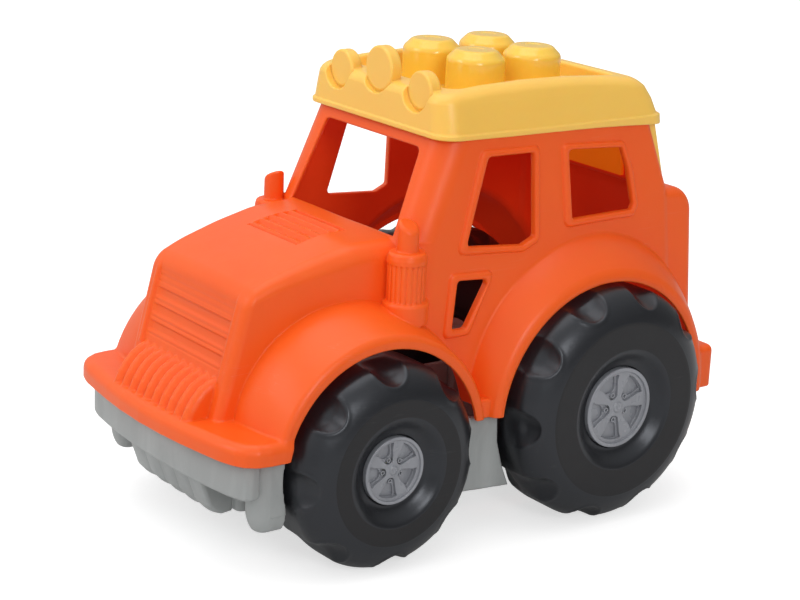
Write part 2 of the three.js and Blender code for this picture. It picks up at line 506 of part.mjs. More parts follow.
add('body_shell', geometryOf(bodyShell()), orange);
add('roof_cap', geometryOf(roofCap()), yellow);
add('chassis', geometryOf(chassis()), gray);
for (const [end, w] of [['front', FRONT], ['rear', REAR]]) {
  const at = [0, w.y, w.z];
  add(`${end}_axle`, axle(w), steel, at);
  const pieces = [['tyre', tyre(w), black], ['hubcap', hubcap(w), silver], ['hub_sleeve', hubSleeve(w), nylon], ['axle_retainer', retainer(w), nylon]];
  for (const [name, geometry, material] of pieces) {
    add(`${name}_${end}_left`, geometry, material, at);
    // the right wheel is the left one turned half way round about the upright axis
    add(`${name}_${end}_right`, geometry, material, at, [0, 0, Math.PI]);
  }
}
SCREWS.forEach(([x, y], i) => add(`chassis_screw_${i + 1}`, screw(), steel, [x, y, 0]));

export default tractor;
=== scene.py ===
"""Toy tractor: smooth detailed pieces, materials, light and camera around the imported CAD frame."""
import math
import bpy
import numpy as np
from mathutils import Matrix, Vector


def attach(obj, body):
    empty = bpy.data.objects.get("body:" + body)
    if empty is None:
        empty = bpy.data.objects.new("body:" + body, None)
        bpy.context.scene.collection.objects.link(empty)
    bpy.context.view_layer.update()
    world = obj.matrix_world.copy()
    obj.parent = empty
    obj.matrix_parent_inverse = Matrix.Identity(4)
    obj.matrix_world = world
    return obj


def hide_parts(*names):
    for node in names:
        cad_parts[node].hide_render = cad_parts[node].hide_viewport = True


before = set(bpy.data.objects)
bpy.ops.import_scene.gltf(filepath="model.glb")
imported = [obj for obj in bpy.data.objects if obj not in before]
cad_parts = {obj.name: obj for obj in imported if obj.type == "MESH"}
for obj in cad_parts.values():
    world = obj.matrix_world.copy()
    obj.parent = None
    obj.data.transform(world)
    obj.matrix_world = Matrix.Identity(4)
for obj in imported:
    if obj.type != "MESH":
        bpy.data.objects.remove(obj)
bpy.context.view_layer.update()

MM = 0.001
F32 = np.float32

# ------------------------------------------------------------------ distance-field helpers (mm)


def rint(a, b, r):
    """Intersection whose outer edge is rounded with radius r."""
    u = np.maximum(a + r, 0)
    v = np.maximum(b + r, 0)
    return np.minimum(np.maximum(a, b), -r) + np.sqrt(u * u + v * v)


def runi(a, b, r):
    """Union with a fillet of radius r in its inner corner."""
    u = np.maximum(r - a, 0)
    v = np.maximum(r - b, 0)
    return np.maximum(np.minimum(a, b), r) - np.sqrt(u * u + v * v)


def rcut(a, b, r):
    """a with b taken away, its edge rounded."""
    return rint(a, -b, r)


def ss(t):
    t = np.clip(t, 0, 1)
    return t * t * (3 - 2 * t)


def poly(x, y, pts):
    """Signed distance to a closed polygon."""
    pts = [(float(a), float(b)) for a, b in pts]
    d = None
    s = None
    n = len(pts)
    for i in range(n):
        ax, ay = pts[i]
        bx, by = pts[(i + 1) % n]
        ex, ey = bx - ax, by - ay
        wx, wy = x - ax, y - ay
        h = np.clip((wx * ex + wy * ey) / (ex * ex + ey * ey), 0, 1)
        dx, dy = wx - ex * h, wy - ey * h
        q = dx * dx + dy * dy
        d = q if d is None else np.minimum(d, q)
        c1 = ay <= y
        c2 = by > y
        side = ex * wy - ey * wx
        flip = (c1 & c2 & (side > 0)) | (~c1 & ~c2 & (side < 0))
        s = flip if s is None else s ^ flip
    return np.sqrt(d) * np.where(s, -1.0, 1.0)


def rounded(pts, r, n=5):
    """The outline with each corner replaced by an arc of radius r (or the largest that fits)."""
    out = []
    m = len(pts)
    rs = r if isinstance(r, (list, tuple)) else [r] * m
    for i in range(m):
        p0, p1, p2 = (np.array(pts[(i + k) % m], float) for k in (-1, 0, 1))
        a, b = p0 - p1, p2 - p1
        la, lb = np.linalg.norm(a), np.linalg.norm(b)
        a, b = a / la, b / lb
        ang = math.acos(max(-1, min(1, float(a @ b))))
        if rs[i] <= 0 or ang > 3.05:
            out.append(tuple(p1))
            continue
        t = min(rs[i] / math.tan(ang / 2), 0.48 * la, 0.48 * lb)
        rr = t * math.tan(ang / 2)
        c = p1 + (a + b) / np.linalg.norm(a + b) * (rr / math.sin(ang / 2))
        s0, s1 = p1 + a * t - c, p1 + b * t - c
        a0, a1 = math.atan2(s0[1], s0[0]), math.atan2(s1[1], s1[0])
        da = (a1 - a0 + math.pi) % (2 * math.pi) - math.pi
        for k in range(n + 1):
            q = a0 + da * k / n
            out.append((c[0] + rr * math.cos(q), c[1] + rr * math.sin(q)))
    return out


def capsule_y(y, a, b):
    return np.maximum(a - y, y - b)


def table(pts, lo, hi, smooth=3.0, step=0.25):
    """A smooth curve through points, as a lookup table."""
    xs = np.arange(lo - 20, hi + 20, step)
    p = sorted(pts)
    px, py = np.array([q[0] for q in p], float), np.array([q[1] for q in p], float)
    ys = np.interp(xs, px, py)
    m = xs < px[0]
    ys[m] = py[0] + (xs[m] - px[0]) * (py[1] - py[0]) / (px[1] - px[0])
    m = xs > px[-1]
    ys[m] = py[-1] + (xs[m] - px[-1]) * (py[-1] - py[-2]) / (px[-1] - px[-2])
    if smooth > 0:
        k = np.exp(-0.5 * (np.arange(-int(3 * smooth / step), int(3 * smooth / step) + 1) * step / smooth) ** 2)
        k /= k.sum()
        pad = len(k) // 2
        e = np.concatenate([ys[0] + (np.arange(-pad, 0)) * (ys[1] - ys[0]), ys, ys[-1] + np.arange(1, pad + 1) * (ys[-1] - ys[-2])])
        ys = np.convolve(e, k, "valid")
    return lambda v: np.interp(v, xs, ys)


# ------------------------------------------------------------------ surface extraction


def nets(f, lo, hi, h, symmetric):
    """Closed quad mesh of f = 0 by surface nets, moved exactly onto the surface. symmetric: f(-x) = f(x)."""
    lo, hi = np.array(lo, float), np.array(hi, float)
    n = np.ceil((hi - lo) / h).astype(int) + 2
    if symmetric:
        xs = (np.arange(int(math.ceil(hi[0] / h)) + 3) - 0.5) * h
    else:
        xs = lo[0] - h / 2 + np.arange(n[0] + 1) * h
    ys = lo[1] - h * 0.37 + np.arange(n[1] + 1) * h
    zs = lo[2] - h * 0.41 + np.arange(n[2] + 1) * h
    F = np.empty((len(xs), len(ys), len(zs)), F32)
    X = xs.astype(F32)[:, None, None]
    Z = zs.astype(F32)[None, None, :]
    step = 16
    for j in range(0, len(ys), step):
        Y = ys[j : j + step].astype(F32)[None, :, None]
        F[:, j : j + step, :] = f(np.abs(X) if symmetric else X, Y, Z)
    F[np.abs(F) < 1e-5] = 1e-5
    S = F < 0
    a = S[:-1] + 0
    cnt = np.zeros((F.shape[0] - 1, F.shape[1] - 1, F.shape[2] - 1), np.int8)
    for i in (0, 1):
        for j in (0, 1):
            for k in (0, 1):
                cnt += S[i : i + cnt.shape[0], j : j + cnt.shape[1], k : k + cnt.shape[2]]
    act = (cnt > 0) & (cnt < 8)
    ci, cj, ck = np.nonzero(act)
    idx = np.full(cnt.shape, -1, np.int32)
    idx[ci, cj, ck] = np.arange(len(ci), dtype=np.int32)
    acc = np.zeros((len(ci), 3))
    num = np.zeros(len(ci))
    corners = [(i, j, k) for i in (0, 1) for j in (0, 1) for k in (0, 1)]
    for a_ in corners:
        for ax in range(3):
            if a_[ax]:
                continue
            b_ = list(a_)
            b_[ax] = 1
            fa = F[ci + a_[0], cj + a_[1], ck + a_[2]]
            fb = F[ci + b_[0], cj + b_[1], ck + b_[2]]
            m = (fa < 0) != (fb < 0)
            t = np.where(m, fa / np.where(m, fa - fb, 1), 0)
            for q in range(3):
                v = a_[q] + (t if q == ax else 0)
                acc[:, q] += np.where(m, v, 0)
            num += m
    acc /= num[:, None]
    V = np.stack([xs[ci], ys[cj], zs[ck]], 1) + acc * h
    quads = []
    for ax in range(3):
        sl0 = [slice(None)] * 3
        sl1 = [slice(None)] * 3
        sl0[ax] = slice(0, -1)
        sl1[ax] = slice(1, None)
        A, B = S[tuple(sl0)], S[tuple(sl1)]
        e = np.stack(np.nonzero(A != B), 1)
        o1, o2 = [q for q in range(3) if q != ax]
        e = e[(e[:, o1] > 0) & (e[:, o2] > 0) & (e[:, o1] < F.shape[o1] - 1) & (e[:, o2] < F.shape[o2] - 1)]
        inside = A[e[:, 0], e[:, 1], e[:, 2]]
        c = []
        for d1, d2 in ((-1, -1), (0, -1), (0, 0), (-1, 0)):
            q = e.copy()
            q[:, o1] += d1
            q[:, o2] += d2
            c.append(idx[q[:, 0], q[:, 1], q[:, 2]])
        c = np.stack(c, 1)
        flip = inside if ax != 1 else ~inside
        c[~flip] = c[~flip][:, ::-1]
        quads.append(c)
    Q = np.concatenate(quads)
    Q = Q[(Q >= 0).all(1)]
    used = np.unique(Q)
    remap = np.full(len(V), -1, np.int64)
    remap[used] = np.arange(len(used))
    V = V[used]
    Q = remap[Q]
    mid = ci[used] == 0 if symmetric else None
    V = settle(f, V, h, symmetric)
    if symmetric:
        V[mid, 0] = 0
        k = np.nonzero(~mid)[0]
        m2 = np.arange(len(V))
        m2[k] = len(V) + np.arange(len(k))
        V2 = V[k] * np.array([-1, 1, 1])
        Q2 = m2[Q][:, ::-1]
        V, Q = np.concatenate([V, V2]), np.concatenate([Q, Q2])
    return V, Q


def grad(f, V, e, symmetric):
    x, y, z = V.T
    g = lambda x, y, z: f(np.abs(x) if symmetric else x, y, z)
    k = [(1, -1, -1), (-1, -1, 1), (-1, 1, -1), (1, 1, 1)]
    G = np.zeros_like(V)
    for a in k:
        v = g(x + a[0] * e, y + a[1] * e, z + a[2] * e)
        G += v[:, None] * np.array(a)
    return G / (4 * e)


def settle(f, V, h, symmetric):
    for _ in range(2):
        x, y, z = V.T
        d = f(np.abs(x) if symmetric else x, y, z)
        G = grad(f, V, 0.05 * h + 0.02, symmetric)
        g2 = np.maximum((G * G).sum(1), 0.05)
        s = np.clip(d / g2, -0.5 * h, 0.5 * h)
        V = V - G * s[:, None]
    return V


def object_of(name, V, Q, f, symmetric, e, ratio=1.0, mat=None, inset=0.5):
    me = bpy.data.meshes.new(name)
    me.vertices.add(len(V))
    me.vertices.foreach_set("co", (V * MM).astype(F32).ravel())
    n = Q.shape[1]
    me.loops.add(Q.size)
    me.loops.foreach_set("vertex_index", Q.astype(np.int32).ravel())
    me.polygons.add(len(Q))
    me.polygons.foreach_set("loop_start", np.arange(0, Q.size, n, dtype=np.int32))
    me.update(calc_edges=True)
    ob = bpy.data.objects.new(name, me)
    bpy.context.collection.objects.link(ob)
    if ratio < 1:
        md = ob.modifiers.new("thin", "DECIMATE")
        md.ratio = ratio
        md.use_collapse_triangulate = True
        dg = bpy.context.evaluated_depsgraph_get()
        new = bpy.data.meshes.new_from_object(ob.evaluated_get(dg))
        ob.modifiers.clear()
        ob.data = new
        bpy.data.meshes.remove(me)
        me = new
        me.name = name
        co = np.empty(len(me.vertices) * 3, F32)
        me.vertices.foreach_get("co", co)
        V = co.reshape(-1, 3).astype(float) / MM
    me.polygons.foreach_set("use_smooth", np.ones(len(me.polygons), bool))
    # a normal for each face corner, read a little inside its face so that creases stay clean
    nl = len(me.loops)
    lv = np.empty(nl, np.int32)
    me.loops.foreach_get("vertex_index", lv)
    lt = np.empty(len(me.polygons), np.int32)
    me.polygons.foreach_get("loop_total", lt)
    lf = np.repeat(np.arange(len(lt)), lt)
    cen = np.empty(len(lt) * 3, F32)
    me.polygons.foreach_get("center", cen)
    cen = cen.reshape(-1, 3).astype(float) / MM
    fn = np.empty(len(lt) * 3, F32)
    me.polygons.foreach_get("normal", fn)
    fn = fn.reshape(-1, 3)[lf]
    P = V[lv]
    D = cen[lf] - P
    L = np.linalg.norm(D, axis=1, keepdims=True) + 1e-9
    P = P + D * np.minimum(1.0, inset / L)
    N = grad(f, P, e, symmetric)
    ln = np.linalg.norm(N, axis=1, keepdims=True)
    N = N / np.maximum(ln, 1e-6)
    bad = (ln[:, 0] < 0.2) | ((N * fn).sum(1) < 0.35)
    N[bad] = fn[bad]
    me.normals_split_custom_set(N.astype(float).tolist())
    if mat:
        me.materials.append(mat)
    return ob


def sdf_piece(name, f, lo, hi, h, symmetric=True, ratio=1.0, mat=None, body="tractor_body", nodes=(), e=0.25):
    V, Q = nets(f, lo, hi, h, symmetric)
    ob = object_of(name, V, Q, f, symmetric, e, ratio, mat)
    if body:
        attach(ob, body)
    if nodes:
        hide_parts(*nodes)
    return ob


# ------------------------------------------------------------------ body shell
WALL = 2.2
LEAN = 0.265
hood_top = table([(-140, 99.5), (-103, 117.7), (-93.5, 121.9), (-75, 127.7), (-57, 132.0), (-36, 133.0), (-10, 133.6)], -140, 0, 2.5)
CREASE_NORM = math.sqrt(1 + LEAN * LEAN)


def cab_half(z):
    return 50 + (172 - z) * 0.06


def hood_half(y):
    return 38.5 + 0.0878 * (y + 110)


def bow(y):
    """How far the cab's sides swell outwards between its corners."""
    return 2.5 * np.exp(-(((y - 34.0) / 36.0) ** 2))


def swell(pts):
    return [(a - 0.735 * float(bow(a)), b + 0.365 * float(bow(a))) for a, b in pts]


DOOR = rounded(swell([(4.5, 166.2), (29.2, 165.9), (30.4, 129.2), (23.8, 126.3), (-6.5, 129.0)]), [2, 1.6, 1.6, 2, 2])
REARW = rounded(swell([(48.7, 165.4), (79.8, 163.8), (84.2, 153.3), (87.8, 137.6), (86.6, 135.2), (52.0, 134.4)]), [1.6, 1.6, 2, 1, 1, 1.6])
LOW = rounded(swell([(-11, 114.8), (5.3, 113.6), (-6.8, 93.7), (-13.8, 93.6)]), [1.6, 1.4, 1.6, 1.6])
DOOR_RIM = rounded(swell([(0.6, 169.4), (32.2, 168.8), (33.8, 127.2), (25.0, 123.2), (-11.4, 125.8)]), [3, 3, 3, 4, 3])
REARW_RIM = rounded(swell([(44.6, 168.2), (81.2, 166.6), (87.2, 153.6), (91.2, 136.6), (88.4, 132.0), (47.8, 131.0)]), [2.5, 3, 4, 2, 2, 4])
LOW_RIM = rounded(swell([(-15.0, 118.2), (9.2, 117.0), (-4.4, 90.4), (-18.6, 90.2)]), [2.5, 2.5, 3, 3])
SHIELD = rounded([(-38.6, 132.0), (38.6, 132.0), (34.9, 169.6), (-34.9, 169.6)], [1, 1, 3, 3])
LEDGE = rounded([(71, -96), (71, -113), (70, -119), (66.8, -123.9), (63, -126.2), (56, -128.6), (44, -130.4), (31, -132.1), (17, -133.4), (0, -133.95),
                 (-17, -133.4), (-31, -132.1), (-44, -130.4), (-56, -128.6), (-63, -126.2), (-66.8, -123.9), (-70, -119), (-71, -113), (-71, -96)],
                [0, 0, 5, 6, 8, 30, 40, 40, 40, 40, 40, 40, 40, 30, 8, 6, 5, 0, 0], 3)
BULGE = [(-108, 81.2), (-114.2, 81.1), (-117.8, 79.8), (-121.8, 77.2), (-124.9, 73.8), (-127.5, 69.9), (-129.3, 65.8), (-130.1, 61), (-108, 61)]
STACK = (51.2, -36.2)
FA = dict(y=-56.25, z=46.4, r=48.8, lip=53.8, x=69.2)
FC = dict(y=-59.5, z=57.5, r=52.3, x=40.0)
RA = dict(y=62.2, z=51.7, r=57.0, lip=61.0, x=70.75)
RC = dict(y=62.0, z=60.5, r=68.0, x=47.0)


def fender(x, y, z, c, a):
    """Top of a fender whose radius and centre slide from the crease at the body to the lip at the wheel."""
    t = np.clip((x - c["x"]) / (a["x"] - c["x"]), 0, 1)
    s = t**1.8
    ds = np.where((t > 0) & (t < 1), 1.8 * t**0.8 / (a["x"] - c["x"]), 0)
    cy = c["y"] + (a["y"] - c["y"]) * s
    cz = c["z"] + (a["z"] - c["z"]) * s
    r = c["r"] + (a["lip"] - c["r"]) * s
    dy, dz = y - cy, z - cz
    rho = np.sqrt(dy * dy + dz * dz) + 1e-6
    slope = ds * ((a["lip"] - c["r"]) + (a["z"] - c["z"]) * dz / rho + (a["y"] - c["y"]) * dy / rho)
    f = (rho - r) / np.sqrt(1 + slope * slope)
    f = rint(f, x - a["x"], 2.0)
    return rint(f, 34 - x, 0.5)


def bumps(x, r=1.0):
    """0 in the groove to 1 on the crest of round ribs with pitch 1."""
    u = x - np.floor(x)
    return np.sqrt(np.maximum(1 - (2 * u - 1) ** 2, 0.0))


def front_face(y, z):
    return (-108.4 - (106 - z) * LEAN) - y


def body_outer(x, y, z):
    # hood
    side = x - hood_half(y)
    crown = 1.0 * (1 - (x / 42.0) ** 2)
    ht = hood_top(y)
    slope = (hood_top(y + 0.5) - hood_top(y - 0.5)).astype(F32)
    top = (z - ht.astype(F32) - crown) / np.sqrt(1 + slope * slope)
    front = front_face(y, z) / CREASE_NORM
    # grille panel, set back between the corner strips, with louvres
    inx = ss((31.1 - x) / 1.0)
    inz = ss((118.0 - z) / 10.0) * ss((z - 79.0) / 1.5)
    lou = (104.3 - z) / 7.15
    k = lou - np.floor(lou)
    band = ss(k / 0.10) * (1 - ss((k - 0.50) / 0.14))
    line = np.exp(-(((k - 0.80) * 7.15 / 0.42) ** 2))
    on = np.where((lou > 0) & (lou < 3), 1.0, 0.0)
    fine = 0.30 * np.exp(-(((z - 106.6) / 0.4) ** 2)) + 0.22 * np.exp(-(((z - 109.2) / 0.4) ** 2)) + 0.15 * np.exp(-(((z - 111.6) / 0.4) ** 2))
    ends = ss((30.4 - x) / 2.6)
    panel = -0.95 - on * ends * (0.85 * band + 0.36 * line) - fine
    front = front - inx * inz * panel - 0.45 * np.exp(-(((x - 32.1) / 1.0) ** 2)) * inz
    h = rint(top, side, np.clip(4.6 + (y + 106) * 0.075, 4.6, 8.0).astype(F32))
    h = rint(h, front, 3.9)
    h = np.maximum(h, y + 20)
    # louvres in the top of the hood
    v = (-(y + 45.6)) / 4.95
    kv = v - np.floor(v)
    inv = ss((19.2 - x) / 0.8) * np.where((v > 0) & (v < 5), 1, 0)
    hv = np.power(np.clip(kv / 0.72, 0, 1), 0.75) * (1 - ss((kv - 0.70) / 0.30))
    h = h + inv * (1.45 - 1.95 * hv) * np.where(z > 120, 1, 0)
    # cab
    ch = cab_half(z)
    bead = 0.0
    for hole, lip in ((DOOR, DOOR_RIM), (REARW, REARW_RIM), (LOW, LOW_RIM)):
        d1 = np.maximum(poly(y, z, hole) + 0.2, 0)
        d2 = np.maximum(-poly(y, z, lip), 0)
        tt = d1 / (d1 + d2 + 1e-4)
        bead = np.maximum(bead, 1.5 * np.power(np.maximum(1 - (2 * tt - 1) ** 2, 0), 0.5) * np.where((d2 > 0), 1, 0))
    cs = x - ch - bow(y) - bead
    body_outer.bead = bead
    cf = np.where(z > 133, (-19.1 - (172.6 - z) * 0.413 - y) / 1.082, -35.5 - (133 - z) * 0.02 - y)
    cr = np.where(z > 143, (y - 99.7 - (170 - z) * 0.393) / 1.074, y - 110.3 - (143 - z) * 0.08)
    c = rint(rint(cs, cf, 12.5), cr, 4.0)
    c = np.maximum(c, z - 176.1)
    # box behind the cab
    by = y - (127.2 + (131.5 - z) * 0.0407)
    bt = z - 141.8
    b = rint(by, bt, 11.5)
    b = rint(b, x - (ch - 0.7), 4.5)
    b = np.maximum(b, 60 - y)
    main = runi(h, c, 1.5)
    main = runi(main, b, 1.0)
    # fenders
    f1 = fender(x, y, z, FC, FA)
    f2 = fender(x, y, z, RC, RA)
    main = runi(main, f1, 0.6)
    main = runi(main, f2, 0.8)
    # front ledge, sill and rear ledge
    lp = poly(x, y, LEDGE)
    led = rint(np.maximum(lp, 50 - z), z - 64.8, 4.6)
    led = np.maximum(led, y + 84)
    main = runi(main, led, 1.2)
    sill = rint(rint(x - 67.2, z - 64.3, 1.0), np.maximum(-16 - y, y - 12), 0.5)
    main = np.minimum(main, sill)
    rl = rint(rint(x - 67.5, y - 133.6, 3.6), z - 68.8, 3.4)
    rl = np.maximum(rl, 100 - y)
    main = runi(main, rl, 1.5)
    # ribbed bulge under the grille
    bp = poly(y, z, BULGE)
    u = (x + 31.0) / 6.2
    groove = 2.15 * (1 - np.sqrt(np.sin(math.pi * (u - np.floor(u))) ** 2 + 0.012))
    bp = (bp + groove * ss((z - 60) / 2)) * 0.8
    bl = rint(bp, x - 30.9, 1.2)
    main = runi(main, bl, 0.7)
    return main


def stack(x, y, z):
    dx, dy = x - STACK[0], y - STACK[1]
    rho = np.sqrt(dx * dx + dy * dy)
    ang = np.arctan2(dy, dx)
    pipe = rint(rho - (4.55 - (z - 128) * 0.012), (z - 142.0 + dx * 0.56) * 0.87, 1.5)
    pipe = np.maximum(pipe, 118 - z)
    collar = rint(rho - (8.5 - np.clip(z - 127.4, 0, 9) * 0.25), z - 130.4, 1.2)
    collar = np.maximum(collar, 125.4 - z)
    fl = (ang / (2 * math.pi) + 0.5) * 20
    flute = 0.75 * (1 - bumps(fl)) * ss((127.0 - z) / 1.2)
    body = np.maximum(rho - 8.35 + flute, np.maximum(z - 128, 92 - z))
    flange = rint(rho - 9.9, z - 109.4, 1.5)
    flange = np.maximum(flange, 100 - z)
    s = np.minimum(collar, body)
    s = runi(s, flange, 0.8)
    return runi(s, pipe, 0.8)


def body_sdf(x, y, z):
    o = body_outer(x, y, z)
    # the inner side of the wall stays flat behind the window rims
    inside = o + WALL + body_outer.bead
    shell = np.maximum(o, -inside)
    st = stack(x, y, z)
    shell = runi(shell, np.maximum(st, -inside), 0.8)
    # screw posts inside
    for py, top in ((-96.0, 86.0), (106.0, 82.0)):
        rho = np.sqrt((x - 20.0) ** 2 + (y - py) ** 2)
        post = np.maximum(rho - 4.0, np.maximum(44.4 - z, z - top))
        rib = np.maximum(np.abs(x - 20.0) - 1.2, np.maximum(47 - z, z - 80))
        rib = np.maximum(rib, np.where(py < 0, np.maximum(y - py, -113.0 - y), np.maximum(py - y, y - 128.6)))
        shell = np.minimum(shell, np.maximum(np.minimum(post, rib), -np.maximum(rho - 1.5, z - 66)))
    # lower edge and wheel openings
    low = np.where(y > 98, 48.6, 56.0) - z
    posts_free = np.sqrt((x - 20.0) ** 2 + (np.abs(y - 5) - 101.0) ** 2) - 6
    shell = np.where(posts_free > 0, rint(shell, low, 0.5), shell)
    fa = np.sqrt((y - FA["y"]) ** 2 + (z - FA["z"]) ** 2) - FA["r"]
    ra = np.sqrt((y - RA["y"]) ** 2 + (z - RA["z"]) ** 2) - RA["r"]
    shell = rcut(shell, np.maximum(fa, 40 - x), 0.7)
    shell = rcut(shell, np.maximum(ra, 44 - x), 0.7)
    # windows
    shell = rcut(shell, poly(y, z, DOOR), 0.8)
    shell = rcut(shell, poly(y, z, REARW), 0.8)
    shell = rcut(shell, poly(y, z, LOW), 0.8)
    shield = np.maximum(poly(x, z, SHIELD), y + 6)
    shell = rcut(shell, np.maximum(shield, 133.5 + np.maximum(-36.0 - y, 0) * 2 - z), 0.8)
    back = np.maximum(poly(x, z, [(-21.0, 144.9), (21.0, 144.9), (27.5, 160), (27.5, 167.5), (-27.5, 167.5), (-27.5, 160)]), 86 - y)
    shell = rcut(shell, back, 0.6)
    return np.maximum(shell, z - 176.1)


# ------------------------------------------------------------------ roof
STUD_Y, STUD_P, STUD_R, STUD_TOP = 38.5, 31.75, 12.95, 205.7


def lamp(x, y, z, cx, cz, r, face):
    rho = np.sqrt((x - cx) ** 2 + (z - cz) ** 2)
    return rho - r, face - y


def roof_sdf(x, y, z):
    rows = [172, 176.8, 177.4, 184, 189.4, 193.4, 197]
    swl = 1.2 * np.exp(-(((y - 34.0) / 36.0) ** 2))
    sx = x - swl - np.interp(z, rows, [51.9, 51.9, 51.0, 49.6, 48.2, 46.8, 45.4]).astype(F32)
    fy = np.interp(z, rows, [-21.0, -20.9, -20.2, -19.9, -19.7, -19.3, -18.4]).astype(F32) - y
    ry = y - np.interp(z, rows, [107.2, 106.4, 105.0, 102.2, 98.6, 94.6, 91.0]).astype(F32)
    top_z = np.interp(y, [-30, -17, 5, 27, 52, 77, 100], [192.0, 193.2, 195.4, 196.3, 196.2, 194.8, 192.4]).astype(F32)
    tz = z - top_z
    corner = np.clip(10.0 - (z - 176.0) * 0.06, 8, 10)
    o = rint(rint(sx, fy, corner), rint(sx, ry, corner), 0.01)
    o = rint(o, tz, 4.0)
    bot = 174.6 - 2.2 * ((y - 30) / 74.0) ** 2 + np.where(y < 30, 1.2 * ((y - 30) / 50.0) ** 2, 0) - z
    o = rint(o, bot, 0.6)
    # tray between the rims
    t = rint(rint(x - 39.4 - (z - 190) * 0.1, -7.4 - y, 7), rint(x - 39.4 - (z - 190) * 0.1, y - 84.5, 7), 0.01)
    t = rint(t, 186.4 - z, 1.5)
    o = rint(o, -t, 1.6)
    # studs
    dx, dy = x - STUD_P / 2, np.abs(y - STUD_Y) - STUD_P / 2
    rho = np.sqrt(dx * dx + dy * dy)
    st = rint(rho - STUD_R, z - STUD_TOP, 0.6)
    cone = (rho - 8.9 + (z - STUD_TOP) * 1.0) * 0.7071
    st = rint(st, cone, 0.9)
    ring = 0.22 * ss((4.0 - rho) / 0.8)
    st = st + ring * np.where(z > 203, 1, 0)
    st = np.maximum(st, 180 - z)
    o = runi(o, st, 0.8)
    # lamp discs and the pockets cut round their lower edges
    for cx, cz, r, face in ((0.0, 197.4, 9.7, -18.0), (28.8, 192.6, 8.2, -17.3)):
        rho = np.sqrt((x - cx) ** 2 + (z - cz) ** 2)
        pocket = np.maximum(rho - r - 0.9, y - face - 0.9)
        o = rcut(o, pocket, 0.5)
        disc = rint(rho - r, face - y, 1.1)
        disc = rint(disc, y - (face + 6.0), 1.4)
        o = runi(o, disc, 0.7)
    # hollow under the roof
    u = rint(rint(x - 50.2, -19.4 - y, 7.5), rint(x - 50.2, y - 103.0, 7.5), 0.01)
    u = np.maximum(u, z - 176.5)
    u2 = rint(rint(x - 46.4, -15.8 - y, 7), rint(x - 46.4, y - 94.5, 7), 0.01)
    u2 = np.maximum(u2, z - 184.0)
    us = np.maximum(np.sqrt(dx * dx + dy * dy) - 10.6, z - 202)
    o = np.maximum(o, -np.minimum(np.minimum(u, u2), us))
    # panel down the back of the cab
    py = y - 97.4 - (170 - z) * 0.478
    po = y - 102.9 - (170 - z) * 0.292
    pi_ = y - 98.6 - (170 - z) * 0.393
    pan = rint(np.maximum(-pi_ / 1.074, po / 1.042), x - 48.2, 0.8)
    pan = rint(pan, 143.6 - z, 0.6)
    pan = np.maximum(pan, z - 178)
    lnk = np.maximum(np.maximum(x - 44.6, 94.2 - y), np.maximum(y - 103.2, np.abs(z - 177.5) - 1.0))
    tab = np.maximum(np.maximum(-4.3 - py, py + 2.5) / 1.108, np.maximum(np.maximum(139.8 - z, z - 168.0), x - 23.0 - (z - 140) * 0.4))
    bridge = np.maximum(np.maximum(-4.3 - py, py - 1.5) / 1.108, np.maximum(np.abs(z - 155.0) - 6.0, x - 17.0))
    return np.minimum(np.minimum(np.minimum(o, pan), lnk), np.minimum(tab, bridge))


# ------------------------------------------------------------------ chassis
BAND = [(60.0, -98), (60.0, -112.3), (63.2, -114.0), (63.9, -117.6), (62.4, -121.2), (55, -123.6), (44, -125.2), (31, -126.7), (17, -127.5), (0, -127.8)]
BAND = BAND + [(-a, b) for a, b in reversed(BAND[:-1])]
BAND = rounded(BAND, [0, 0.5, 1.2, 2.5, 4] + [30] * (len(BAND) - 10) + [4, 2.5, 1.2, 0.5, 0], 4)
VAL = [(-125.4, 41), (-121.4, 36), (-119.2, 30), (-117.4, 25), (-114.4, 21.8), (-110.5, 20.3), (-105.4, 20.8), (-104.5, 26), (-104.5, 41)]
SKIRT = [(-8.8, 55.7), (-9.0, 40), (-11, 30), (-13.8, 22.2), (0, 21.2), (16.6, 20.2), (12.4, 30), (8.9, 42), (8.0, 55.7)]


